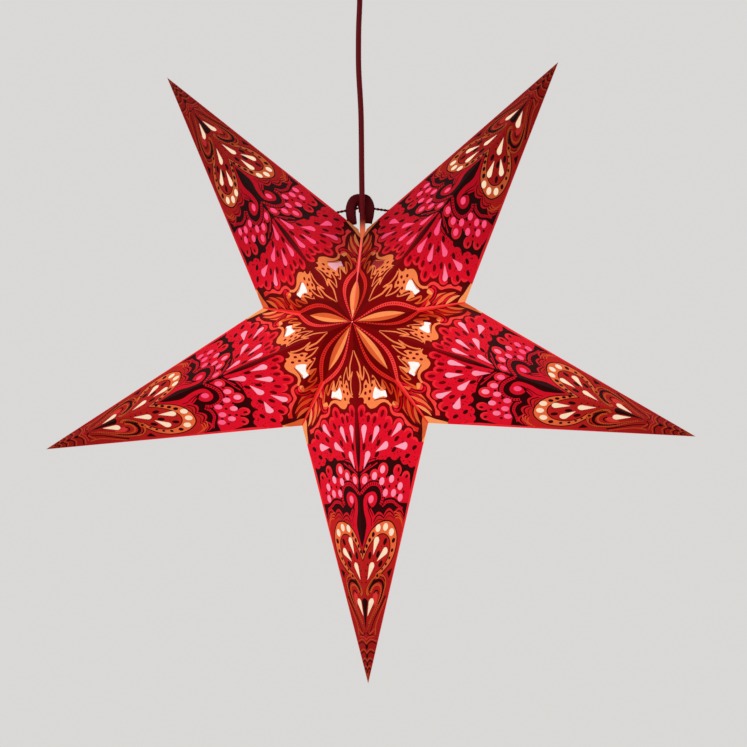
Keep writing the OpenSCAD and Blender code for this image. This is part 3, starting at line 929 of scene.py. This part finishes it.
def grain_group():
    """Cloudy sheet formation and short fibres of paper."""
    name = "paper_grain"
    if name in bpy.data.node_groups:
        return bpy.data.node_groups[name]
    tree, given, out = new_group(name, {"Cloud": 260.0, "Fibre": 900.0, "Depth": 0.1}, ("Mottle", "Height"))
    cloud = noise(tree, Scale=given["Cloud"], Detail=4)
    fibre = noise(tree, Scale=given["Fibre"], Detail=3, Distortion=2.5)
    centred = math_node(tree, "SUBTRACT", math_node(tree, "ADD", cloud, fibre), 1.0)
    put(tree, out, Mottle=linear(tree, product(tree, centred, given["Depth"]), 2.4, 1.0), Height=fibre)
    return tree


def glow_group(look):
    """Light of the lamp behind a sheet: weaker far from it and above its holder, redder behind a flap."""
    name = "lamp_glow"
    if name in bpy.data.node_groups:
        return bpy.data.node_groups[name]
    tree, given, out = new_group(
        name, {"Colour": (1, 1, 1, 1), "Mottle": 1.0, "Flap": 0.0, "Reach": look.reach, "Far": look.far_glow,
               "Upper": 1.0, "Holder": look.holder_shade}, ("Colour",))
    fade = ramp_node(tree, lamp_distance(tree), (NEAR_LAMP, given["Reach"]), (1.0, given["Far"]))
    axes = object_axes(tree)
    above = ramp_node(tree, axes["Z"], HOLDER_RISE)
    beside = ramp_node(tree, math_node(tree, "ABSOLUTE", axes["X"], 0.0), HOLDER_SIDE, (given["Holder"], 0.0))
    shade = math_node(tree, "SUBTRACT", 1.0, product(tree, above, beside))
    upper = ramp_node(tree, axes["Z"], UPPER_RISE, (1.0, given["Upper"]))
    level = product(tree, fade, shade, given["Mottle"], upper)
    flap = mixed(tree, given["Flap"], WHITE, look.flap_tint)
    put(tree, out, Colour=scaled(tree, tinted(tree, given["Colour"], flap), level))
    return tree


def moulded_group():
    """Fine uneven gloss and grain of moulded, drawn or woven surfaces."""
    name = "surface_grain"
    if name in bpy.data.node_groups:
        return bpy.data.node_groups[name]
    tree, given, out = new_group(
        name, {"Scale": 400.0, "Rough": 0.4, "Swing": 0.12}, ("Tone", "Roughness", "Height"))
    centred = math_node(tree, "SUBTRACT", noise(tree, Scale=45), 0.5)
    swing = product(tree, centred, given["Swing"])
    rough = math_node(tree, "ADD", given["Rough"], swing)
    height = noise(tree, Scale=given["Scale"])
    put(tree, out, Tone=linear(tree, swing, 2.0, 1.0), Roughness=rough, Height=height)
    return tree


def group_node(tree, group, **sources):
    return put(tree, add(tree, "ShaderNodeGroup", node_tree=group), **sources).outputs


# Materials

GRAIN_HEIGHT = 0.2 * MM


def new_material(name):
    material = bpy.data.materials.new(name)
    material.use_nodes = True
    tree = material.node_tree
    return material, tree, tree.nodes["Principled BSDF"]


def bumped(tree, height, strength):
    """The normals of a fine grain."""
    bump = put(tree, add(tree, "ShaderNodeBump"), Strength=strength, Distance=GRAIN_HEIGHT, Height=height)
    return bump.outputs["Normal"]


def paper_material(name, colour, look, depth, roughness, reflected=None, far=None, upper=1.0, holder=None,
                   shaded_colour=None, shade=None):
    """Paper that shows its colour by reflected light and glows with the lamp behind it."""
    material, tree, shader = new_material(name)
    grain = group_node(tree, grain_group(), Depth=depth)
    tint = colour
    # Painted light and shade: lit colour near the lamp, shaded colour far from it and higher up
    if shaded_colour:
        away = ramp_node(tree, lamp_distance(tree), FAR_TISSUE)
        above = ramp_node(tree, object_axes(tree)["Z"], HIGH_TISSUE)
        tint = mixed(tree, math_node(tree, "MAXIMUM", away, above), colour, shaded_colour)
    if shade:
        tint = tinted(tree, tint, shade(tree))
    lamp_off = product(tree, grain["Mottle"], look.reflected if reflected is None else reflected)
    flap = add(tree, "ShaderNodeAttribute", attribute_name="flap")
    glow = group_node(
        tree, glow_group(look), Colour=tint, Mottle=product(tree, grain["Mottle"], look.lit),
        Flap=flap.outputs["Fac"], Reach=look.reach, Far=look.far_glow if far is None else far, Upper=upper,
        Holder=look.holder_shade if holder is None else holder)
    put(tree, shader, Base_Color=scaled(tree, tint, lamp_off), Emission_Color=glow["Colour"],
        Emission_Strength=1.0, Roughness=roughness, Specular_IOR_Level=0.04,
        Normal=bumped(tree, grain["Height"], 0.25))
    return material


def window_shade(tree):
    """Shade of the lamp holder on the innermost windows beside it, deep in the upper right arm."""
    axes = object_axes(tree)
    above = ramp_node(tree, axes["Z"], WINDOW_RISE)
    tint = mixed(tree, ramp_node(tree, axes["X"], WINDOW_SIDE), (1.0, 0.50, 0.60), (0.42, 0.030, 0.036))
    return mixed(tree, above, WHITE, tint)


def painted_ground_shade(tree):
    """Painted shade on the print's dark ground: deep red in the star's middle, nearly black in its arms."""
    level = tinted(tree, object_place(tree), (1, 0, 1))
    reach = vector_node(tree, "DISTANCE", level, (0, 0, STAR_Z))
    return mixed(tree, ramp_node(tree, reach, GROUND_REACH), WHITE, (0.14, 0.04, 0.04))


def plain_material(name, colour, rough, swing=0.12, scale=400.0, metal=0.0, bump=0.12, specular=0.5):
    """A moulded or metal surface with uneven gloss and fine grain."""
    material, tree, shader = new_material(name)
    grain = group_node(tree, moulded_group(), Scale=scale, Rough=rough, Swing=swing)
    put(tree, shader, Base_Color=scaled(tree, colour, grain["Tone"]), Roughness=grain["Roughness"],
        Metallic=metal, Specular_IOR_Level=specular, Normal=bumped(tree, grain["Height"], bump))
    return material


def sheath_material():
    """Dark red rubber that catches the light of the open seam at its lower end."""
    material = plain_material(
        "cord_sheath", (0.13, 0.002, 0.005), 0.5, swing=0.14, scale=700, bump=0.1, specular=0.08)
    tree = material.node_tree
    fade = ramp_node(tree, object_axes(tree)["Z"], SEAM_GLOW, (1.0, 0.0))
    put(tree, tree.nodes["Principled BSDF"], Emission_Color=scaled(tree, (0.62, 0.13, 0.05), fade),
        Emission_Strength=1.0)
    return material


def ribbon_material():
    """Dark red woven ribbon with fine cross ribs and a soft sheen."""
    material, tree, shader = new_material("ribbon_weave")
    wave = add(tree, "ShaderNodeTexWave", object_place(tree), bands_direction="Z")
    weave = put(tree, wave, Scale=420, Distortion=0.6).outputs["Fac"]
    grain = group_node(tree, moulded_group(), Scale=1200.0, Rough=0.55, Swing=0.2)
    tone = product(tree, grain["Tone"], linear(tree, weave, 0.35, 0.8))
    put(tree, shader, Base_Color=scaled(tree, (0.085, 0.0015, 0.004), tone), Roughness=grain["Roughness"],
        Sheen_Weight=0.05, Sheen_Tint=(0.6, 0.02, 0.03), Specular_IOR_Level=0.06,
        Normal=bumped(tree, weave, 0.3))
    return material


def bulb_material():
    """Frosted glass that glows, with a metal screw base above it."""
    material, tree, shader = new_material("lit_bulb")
    base = math_node(tree, "GREATER_THAN", object_axes(tree)["Z"], GLASS_TOP_Z)
    glass = math_node(tree, "SUBTRACT", 1.0, base)
    grain = group_node(tree, moulded_group(), Scale=600.0, Rough=0.35, Swing=0.15)
    tint = mixed(tree, base, (0.95, 0.9, 0.8), (0.62, 0.60, 0.55))
    put(tree, shader, Base_Color=scaled(tree, tint, grain["Tone"]), Metallic=base,
        Roughness=grain["Roughness"], Emission_Color=scaled(tree, (1.0, 0.86, 0.62), glass),
        Emission_Strength=1.0)
    return material


def dress(material, *nodes):
    """Gives the frame's own nodes a material."""
    for node in nodes:
        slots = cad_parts[node].data.materials
        slots.clear()
        slots.append(material)


def settle(piece, slot, *nodes):
    """Puts a piece under the body and hides the frame's nodes that it stands for."""
    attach(piece, BODY)
    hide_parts(*nodes)


# Operators

class LANTERN_OT_stage(bpy.types.Operator):
    """Makes the camera, the pale floor and the soft light"""
    bl_idname = "lantern.stage"
    bl_label = "Stage"

    CAMERA_LOOK = Vector((-0.0909, 0.98917, 0.11523))
    CAMERA_AIM = Vector((0.00845, 0.0, -0.0333))
    CAMERA_ROLL = math.radians(0.735)
    SENSOR = 36.0
    FLOOR_R = 9.0
    FLOOR_SIDES = 96
    FLOOR_FADE = (0.5, 2.4)
    LAMPS = {
        # Place from the middle of the star, and diameter
        "key": ((-1.3, -2.0, 1.2), 1.8),
        "fill": ((1.7, -1.7, 0.1), 2.0),
        "back": ((0.6, 2.2, 1.3), 1.8),
    }

    def camera(self, look):
        data = bpy.data.cameras.new("camera")
        data.lens = look.focal
        data.sensor_width = self.SENSOR
        camera = place_object("camera", data)
        aim = self.CAMERA_AIM + Vector((0, 0, STAR_Z))
        camera.location = aim - look.distance * self.CAMERA_LOOK
        turn = self.CAMERA_LOOK.to_track_quat("-Z", "Y").to_matrix()
        camera.rotation_euler = (turn @ Matrix.Rotation(-self.CAMERA_ROLL, 3, "Z")).to_euler()
        bpy.context.scene.camera = camera

    def lamp(self, name, place, size, power):
        data = bpy.data.lights.new(name, "AREA")
        data.shape = "DISK"
        data.size = size
        data.energy = power
        lamp = place_object(name, data)
        lamp.location = Vector((0, 0, STAR_Z)) + Vector(place)
        lamp.rotation_euler = (-Vector(place)).to_track_quat("-Z", "Y").to_euler()

    @staticmethod
    def seen_rays(tree):
        """One for the rays that see the background, straight, in a gloss or through glass."""
        path = add(tree, "ShaderNodeLightPath").outputs
        rays = math_node(tree, "MAXIMUM", path["Is Camera Ray"], path["Is Glossy Ray"])
        return math_node(tree, "MAXIMUM", rays, path["Is Transmission Ray"])

    @staticmethod
    def blend(tree, share, first, second, target):
        mix = add(tree, "ShaderNodeMixShader", share, first.outputs[0], second.outputs[0])
        put(tree, target, Surface=mix.outputs[0])

    def room(self, look):
        world = bpy.data.worlds.new("room")
        world.use_nodes = True
        tree = world.node_tree
        tree.nodes.clear()
        seen = add(tree, "ShaderNodeBackground", look.pale)
        light = put(tree, add(tree, "ShaderNodeBackground"), Strength=look.world)
        self.blend(tree, self.seen_rays(tree), light, seen, add(tree, "ShaderNodeOutputWorld"))
        bpy.context.scene.world = world

    def floor(self, look):
        mesh = bpy.data.meshes.new("floor")
        rework(mesh, lambda body: bmesh.ops.create_circle(
            body, cap_ends=True, segments=self.FLOOR_SIDES, radius=self.FLOOR_R))
        floor = place_object("floor", mesh)
        floor.location = (0, 0, STAR_Z - look.floor_drop)
        material, tree, shader = new_material("floor")
        put(tree, shader, Base_Color=look.pale, Roughness=0.9, Specular_IOR_Level=0.1)
        seen = add(tree, "ShaderNodeEmission", look.pale)
        far = ramp_node(tree, vector_node(tree, "LENGTH", object_place(tree)), self.FLOOR_FADE)
        share = product(tree, far, self.seen_rays(tree))
        self.blend(tree, share, shader, seen, tree.nodes["Material Output"])
        mesh.materials.append(material)

    def execute(self, context):
        look = context.scene.lantern_stage
        context.scene.view_settings.view_transform = "Standard"
        self.camera(look)
        self.room(look)
        self.floor(look)
        for name, (place, size) in self.LAMPS.items():
            self.lamp(name + "_light", place, size, getattr(look, name))
        return {"FINISHED"}


class LANTERN_OT_cord(bpy.types.Operator):
    """Makes the cord that hangs from the ceiling fitting and carries the lamp"""
    bl_idname = "lantern.cord"
    bl_label = "Cord"

    # From the lamp holder up to the ceiling fitting, in millimetres
    ROUTE = [
        (0, 0, -300), (0, 0, -280), (0, 0, -262), (-0.1, 0, -245), (-0.2, 0, -225), (-0.2, 0, -200),
        (-0.1, 0, -175), (-0.2, 0, -150), (-0.7, 0, -135), (-1.4, 0, -120), (-1.9, 0, -105), (-1.8, 0, -85),
        (-1.3, 0, -65), (-0.5, 0, -50), (0, 0, -38), (0, 0, -26), (0, 0, -14),
    ]
    FITTING = ("cord_grip", "grip_nut", "ceiling_cup", "ceiling_plate", "terminal_block")

    def execute(self, context):
        size = context.scene.lantern_lamp
        data = bpy.data.curves.new("hanging_cord", "CURVE")
        data.dimensions = "3D"
        data.bevel_depth = size.cord_d / 2
        data.bevel_resolution = 6
        data.use_fill_caps = True
        line = data.splines.new("BEZIER")
        line.bezier_points.add(len(self.ROUTE) - 1)
        for spot, place in zip(line.bezier_points, self.ROUTE):
            spot.co = Vector(place) * MM
            spot.handle_left_type = spot.handle_right_type = "AUTO"
        data.materials.append(sheath_material())
        cord = place_object("hanging_cord", data)
        settle(cord, "cord_sheath", "cord")
        return {"FINISHED"}


class LANTERN_OT_card_arms(bpy.types.Operator):
    """Makes the five folded card arms with their print"""
    bl_idname = "lantern.card_arms"
    bl_label = "Card Arms"

    GRAIN = 0.12
    ROUGHNESS = 0.62

    @staticmethod
    def weld(body):
        """Merges the points that the two facets beside a fold made at the same place."""
        bmesh.ops.remove_doubles(body, verts=body.verts, dist=WELD)

    def execute(self, context):
        look = context.scene.lantern_paper
        colours = context.scene.lantern_inks
        # The maroon ground takes a painted shade that darkens it away from the middle of the star
        special = {"maroon": {"reflected": 0.05, "shade": painted_ground_shade},
                   "card": {"upper": 1.0, "holder": 0.0}}
        materials = []
        for ink in INKS:
            values = {"upper": look.upper_glow, **special.get(ink, {})}
            colour = tuple(getattr(colours, ink))
            materials.append(paper_material("ink_" + ink, colour, look, self.GRAIN, self.ROUGHNESS, **values))
        plan = FacetPlan()
        layers = facet_print(plan)
        for name in ARM_ANGLES:
            corners, triangles, inks, shades = printed_arm(name, plan, layers)
            indices = [INKS.index(ink) for ink in inks]
            arm = mesh_piece("card_arm_" + name, corners, triangles, materials, indices)
            arm.data.attributes.new("flap", "FLOAT", "FACE").data.foreach_set("value", shades)
            rework(arm.data, self.weld)
            settle(arm, "printed_card", "arm_" + name)
        return {"FINISHED"}


class LANTERN_OT_tissue(bpy.types.Operator):
    """Dresses the tissue behind the windows"""
    bl_idname = "lantern.tissue"
    bl_label = "Tissue"

    GRAIN = 0.10
    ROUGHNESS = 0.7

    def execute(self, context):
        look = context.scene.lantern_paper
        colours = context.scene.lantern_tissue
        extra = {"pink": {"shaded_colour": tuple(colours.far_pink)}, "cream": {},
                 "pale": {"shade": window_shade}}
        for tint, values in extra.items():
            material = paper_material(tint + "_tissue", tuple(getattr(colours, tint)), look, self.GRAIN,
                                      self.ROUGHNESS, far=look.tissue_glow, **values)
            dress(material, *[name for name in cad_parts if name.startswith(tint + "_tissue_")])
        return {"FINISHED"}


class LANTERN_OT_ribbon(bpy.types.Operator):
    """Makes the ribbon bow and the strands that tie the two upper arms"""
    bl_idname = "lantern.ribbon"
    bl_label = "Ribbon"

    # Each ear of the bow from the knot, over its crest, down, and back up behind, in millimetres
    RIGHT_EAR = [
        (0, -1, 0), (-1.6, -1.8, 3.6), (-1.2, -2.2, 7.4), (3.4, -2.5, 6.6), (6.4, -2.8, 0), (6.0, -2.8, -7),
        (4.4, -1.8, -13), (3.6, 0, -15.6), (4.2, 1.8, -12.5), (5.6, 2.2, -6), (5.6, 2.2, 0.5), (3, 1.8, 5.2),
        (-1, 1.6, 6.2), (-1.4, 1.2, 3), (0, 0.6, 0),
    ]
    LEFT_EAR = [(0, -1, 0), (-0.2, -1.8, 4.4), (2.6, -2.2, 8), (8.6, -2.5, 6.6), (11.9, -2.8, 0),
                (12, -2.8, -7), (11, -1.8, -13.6), (10.6, 0, -16.2), (10.8, 1.8, -13), (11.4, 2.2, -6.5),
                (11, 2.2, 0.4), (8, 1.8, 5.4), (2.8, 1.6, 6.6), (0.2, 1.2, 3.4), (0, 0.6, 0)]
    # Which way the ribbon's width lies at each of these points
    ACROSS = [(-1, 0, 0.1), (-0.9, 0, 0.45), (0, 0, 1), (0.62, 0, 0.78), (1, 0.1, 0.1), (1, 0.2, -0.05),
              (1, 0.28, 0), (1, 0.2, 0), (1, -0.1, 0), (1, 0, 0.05), (1, 0, 0.2), (0.62, 0, 0.78), (0, 0, 1),
              (-0.9, 0, 0.45), (-1, 0, 0.1)]
    STOP_KNOT = [(0, -2, 2), (1.2, 0, 3), (0, 2, 1), (-1.2, 0, -1), (0, -2, -2)]
    STOP_SCALE = 0.9
    EAR_STEPS = 5
    HOLLOW = 0.9
    TAPE_POINTS = 9
    # Width and thickness of the ribbon's ears, stop knots and wrap, as shares of its own
    EAR_TAPE = (0.84, 1)
    STOP_TAPE = (0.4, 2)
    WRAP_TAPE = (0.75, 1.4)
    TIE_ALONG = 36 * MM
    TIE_IN = 7 * MM
    TIE_PAST = 4 * MM
    WRAP_REACH = (0.6, 3.6, 4.6)

    def hole(self):
        """Middle of the right ribbon hole, in the row frame."""
        notch = NOTCH_R * np.array([math.cos(HALF_ARM), math.sin(HALF_ARM), 0])
        normal = FacetPlan().normal * [1, 1, -1]
        edge = unit(np.array([TIP_R, 0, 0]) - notch)
        x, y, z = notch + self.TIE_ALONG * edge + self.TIE_IN * np.cross(normal, edge)
        a = math.radians(ARM_ANGLES["upper_right"])
        return np.array([x * math.cos(a) - y * math.sin(a), -z, x * math.sin(a) + y * math.cos(a) + STAR_Z])

    @staticmethod
    def tube_faces(rings, count):
        """Faces of a closed tube of rings with count corners each."""
        faces = []
        for i in range(rings - 1):
            for k in range(count):
                after = (k + 1) % count
                faces.append((i * count + k, i * count + after, (i + 1) * count + after, (i + 1) * count + k))
        return faces + [tuple(range(count))[::-1], tuple((rings - 1) * count + k for k in range(count))]

    def tape(self, path, across, size, shares):
        """Corners and faces of a flat tape along a path, a little hollow across its width."""
        width = size.width * shares[0]
        thickness = size.thickness * shares[1]
        heading = np.gradient(path, axis=0)
        lean = (across * heading).sum(1)[:, None] / (heading * heading).sum(1)[:, None]
        across = unit(across - lean * heading)
        normal = unit(np.cross(heading, across))
        steps = np.linspace(-1, 1, self.TAPE_POINTS)
        section = [(w, face + self.HOLLOW * (w * w - 0.5))
                   for face, row in ((0.5, steps), (-0.5, steps[::-1])) for w in row]
        corners = [p + a * w * width / 2 + n * h * thickness
                   for p, a, n in zip(path, across, normal) for w, h in section]
        return corners, self.tube_faces(len(path), len(section))

    def twisted(self, start, end, radius, turns=5, rings=44, count=10):
        """Corners and faces of a ribbon strand rolled tight between two points."""
        way = unit(end - start)
        side = unit(np.cross(way, [0, 1, 0]))
        other = np.cross(way, side)
        corners = []
        for t in np.linspace(0, 1, rings):
            for k in range(count):
                a = 2 * math.pi * (k / count + turns * t)
                reach = radius * (0.82 + 0.18 * math.cos(4 * math.pi * k / count))
                corners.append(start + t * (end - start) + reach * (math.cos(a) * side + math.sin(a) * other))
        return corners, self.tube_faces(rings, count)

    def half(self, side, ear, knot, size):
        """One ear of the bow, the strand below it and its stop knot inside the arm."""
        flip = np.array([side, 1, 1])
        path = smooth(np.array(ear, float) * MM, self.EAR_STEPS)
        across = smooth(self.ACROSS, self.EAR_STEPS)
        hole = self.hole()
        end = (hole + unit(hole - knot) * self.TIE_PAST) * flip
        stop = smooth(self.STOP_KNOT, self.EAR_STEPS)
        stop_across = np.tile([1.0, 0.2, 0.2], (len(stop), 1))
        return [
            self.tape(knot + path * flip, across * flip, size, self.EAR_TAPE),
            self.twisted(knot, end, size.strand),
            self.tape(end + stop * MM * self.STOP_SCALE, stop_across, size, self.STOP_TAPE),
        ]

    def wrap(self, knot, size):
        """The turn of ribbon round the middle of the bow, wound a little wider as it goes."""
        turn = np.linspace(np.pi, 3.5 * np.pi, 32)
        coil = np.column_stack([np.sin(turn), -np.cos(turn), np.sin(turn)]) * self.WRAP_REACH
        path = knot + coil * np.linspace(0.8, 1.0, len(turn))[:, None] * MM
        across = np.tile([1.0, 0, 0.1], (len(turn), 1))
        return self.tape(path, across, size, self.WRAP_TAPE)

    def execute(self, context):
        size = context.scene.lantern_ribbon
        knot = np.array([0, size.back, STAR_Z + NOTCH_R + size.rise])
        parts = self.half(1, self.RIGHT_EAR, knot, size) + self.half(-1, self.LEFT_EAR, knot, size)
        parts.append(self.wrap(knot, size))
        corners, faces = [], []
        for some, shapes in parts:
            faces += [tuple(len(corners) + k for k in shape) for shape in shapes]
            corners += list(some)
        bow = mesh_piece("ribbon_bow", corners, faces, [ribbon_material()])
        rework(bow.data, lambda body: bmesh.ops.recalc_face_normals(body, faces=body.faces))
        bow.data.shade_smooth()
        settle(bow, "ribbon", "tie_ribbon")
        return {"FINISHED"}


class LANTERN_OT_lamp(bpy.types.Operator):
    """Dresses the lamp holder and the bulb, and adds the thread and the grip ribs"""
    bl_idname = "lantern.lamp"
    bl_label = "Lamp"

    THREAD_IN = 1.5 * MM
    THREAD_START = 2 * MM
    THREAD_SHARE = 0.8
    RIB_WIDTH = 1.2 * MM
    RIB_LENGTH = 6 * MM
    RIB_MIDDLE = 4 * MM

    @staticmethod
    def node_piece(context, name, tree, values, material, slot):
        """Runs a geometry tree on an empty mesh and keeps the result as a plain mesh."""
        holder = place_object(name, bpy.data.meshes.new(name))
        modifier = holder.modifiers.new(name, "NODES")
        modifier.node_group = tree
        for item in tree.interface.items_tree:
            if item.in_out == "INPUT":
                modifier[item.identifier] = values[item.name]
        made = bpy.data.meshes.new_from_object(holder.evaluated_get(context.evaluated_depsgraph_get()))
        holder.modifiers.clear()
        holder.data = made
        made.name = name
        made.materials.clear()
        made.materials.append(material)
        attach(holder, BODY)

    @staticmethod
    def geometry_tree(name, **inputs):
        """A geometry tree with named inputs, and what they give."""
        tree = bpy.data.node_groups.new(name, "GeometryNodeTree")
        for label, kind in inputs.items():
            tree.interface.new_socket(name=label, in_out="INPUT", socket_type="NodeSocket" + kind)
        tree.interface.new_socket(name="Geometry", in_out="OUTPUT", socket_type="NodeSocketGeometry")
        return tree, add(tree, "NodeGroupInput").outputs

    @staticmethod
    def finish_tree(tree, geometry, given, material):
        """Moves what a tree made to its place and gives it its material."""
        shift = put(tree, add(tree, "GeometryNodeTransform"), Geometry=geometry, Translation=given["Place"])
        real = put(tree, add(tree, "GeometryNodeRealizeInstances"), Geometry=shift.outputs["Geometry"])
        finish = put(tree, add(tree, "GeometryNodeSetMaterial"), Geometry=real.outputs["Geometry"],
                     Material=material)
        put(tree, add(tree, "NodeGroupOutput"), Geometry=finish.outputs["Geometry"])
        return tree

    def thread_tree(self, material):
        """A round wire wound round the bulb's base."""
        tree, given = self.geometry_tree(
            "thread", Turns="Float", Radius="Float", Height="Float", Wire="Float", Place="Vector")
        spiral = put(tree, add(tree, "GeometryNodeCurveSpiral"), Resolution=40, Rotations=given["Turns"],
                     Start_Radius=given["Radius"], End_Radius=given["Radius"], Height=given["Height"])
        wire = put(tree, add(tree, "GeometryNodeCurvePrimitiveCircle"), Resolution=8, Radius=given["Wire"])
        tube = put(tree, add(tree, "GeometryNodeCurveToMesh"), Curve=spiral.outputs["Curve"],
                   Profile_Curve=wire.outputs["Curve"], Fill_Caps=True)
        return self.finish_tree(tree, tube.outputs["Mesh"], given, material)

    def ribs_tree(self, material):
        """Upright ribs on a circle."""
        tree, given = self.geometry_tree(
            "grip_ribs", Count="Int", Radius="Float", Size="Vector", Place="Vector")
        ring = put(tree, add(tree, "GeometryNodeCurvePrimitiveCircle"), Resolution=given["Count"],
                   Radius=given["Radius"])
        points = put(tree, add(tree, "GeometryNodeCurveToPoints", mode="EVALUATED"),
                     Curve=ring.outputs["Curve"])
        rib = put(tree, add(tree, "GeometryNodeMeshCube"), Size=given["Size"])
        copies = put(tree, add(tree, "GeometryNodeInstanceOnPoints"), Points=points.outputs["Points"],
                     Instance=rib.outputs["Mesh"], Rotation=points.outputs["Rotation"])
        return self.finish_tree(tree, copies.outputs["Instances"], given, material)

    def execute(self, context):
        size = context.scene.lantern_lamp
        plastic = plain_material("holder_plastic", (0.030, 0.028, 0.028), 0.38)
        brass = plain_material("shell_brass", (0.72, 0.52, 0.20), 0.3, metal=1.0, scale=900)
        tin = plain_material("bulb_thread_tin", (0.60, 0.58, 0.54), 0.32, metal=1.0, scale=900)
        dress(plastic, "holder_cap", "holder_sleeve")
        dress(plain_material("contact_ceramic", (0.72, 0.69, 0.62), 0.6, scale=500), "contact_block")
        dress(brass, "screw_shell")
        dress(bulb_material(), "bulb")
        low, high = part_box("screw_shell")
        self.node_piece(context, "bulb_thread", self.thread_tree(tin), {
            "Turns": size.thread_turns, "Radius": high.x - self.THREAD_IN,
            "Height": self.THREAD_SHARE * (high.z - low.z), "Wire": size.thread_r,
            "Place": (0, 0, low.z + self.THREAD_START)}, tin, "bulb_glass")
        low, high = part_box("holder_cap")
        self.node_piece(context, "cap_grip_ribs", self.ribs_tree(plastic),
                        {"Count": size.ribs, "Radius": high.x,
                         "Size": (2 * size.rib_depth, self.RIB_WIDTH, self.RIB_LENGTH),
                         "Place": (0, 0, low.z + self.RIB_MIDDLE)}, plastic, "holder_plastic")
        return {"FINISHED"}


class LANTERN_OT_ceiling_fitting(bpy.types.Operator):
    """Dresses the ceiling fitting that holds the cord"""
    bl_idname = "lantern.ceiling_fitting"
    bl_label = "Ceiling Fitting"

    def execute(self, context):
        shell = plain_material("fitting_plastic", (0.74, 0.72, 0.68), 0.42, swing=0.1, scale=500)
        dress(shell, "ceiling_cup", "cord_grip", "grip_nut")
        dress(plain_material("plate_steel", (0.56, 0.56, 0.55), 0.36, metal=1.0, scale=1100), "ceiling_plate")
        dress(plain_material("terminal_plastic", (0.66, 0.62, 0.52), 0.5, scale=450), "terminal_block")
        return {"FINISHED"}


class LANTERN_PT_panel(bpy.types.Panel):
    """Lists the lantern's pieces and values"""
    bl_idname = "LANTERN_PT_panel"
    bl_label = "Paper Star Lantern"
    bl_space_type = "VIEW_3D"
    bl_region_type = "UI"
    bl_category = "Lantern"

    def draw(self, context):
        for kind in OPERATORS:
            self.layout.operator(kind.bl_idname)
        for name, kind in GROUPS.items():
            box = self.layout.box()
            box.label(text=kind.__doc__)
            for value in kind.__annotations__:
                box.prop(getattr(context.scene, name), value)


GROUPS = {
    "lantern_inks": InkColours,
    "lantern_tissue": TissueColours,
    "lantern_paper": PaperLook,
    "lantern_ribbon": RibbonSizes,
    "lantern_lamp": LampSizes,
    "lantern_stage": StageLook,
}
OPERATORS = (LANTERN_OT_stage, LANTERN_OT_cord, LANTERN_OT_card_arms, LANTERN_OT_tissue, LANTERN_OT_ribbon,
             LANTERN_OT_lamp, LANTERN_OT_ceiling_fitting)
CLASSES = (*GROUPS.values(), *OPERATORS, LANTERN_PT_panel)


def register():
    for kind in CLASSES:
        bpy.utils.register_class(kind)
    for name, kind in GROUPS.items():
        setattr(bpy.types.Scene, name, PointerProperty(type=kind))


def unregister():
    for name in GROUPS:
        delattr(bpy.types.Scene, name)
    for kind in reversed(CLASSES):
        bpy.utils.unregister_class(kind)


def main():
    register()
    bpy.ops.lantern.stage()
    bpy.ops.lantern.cord()
    bpy.ops.lantern.card_arms()
    bpy.ops.lantern.tissue()
    bpy.ops.lantern.ribbon()
    bpy.ops.lantern.lamp()
    bpy.ops.lantern.ceiling_fitting()


if __name__ == "__main__":
    main()
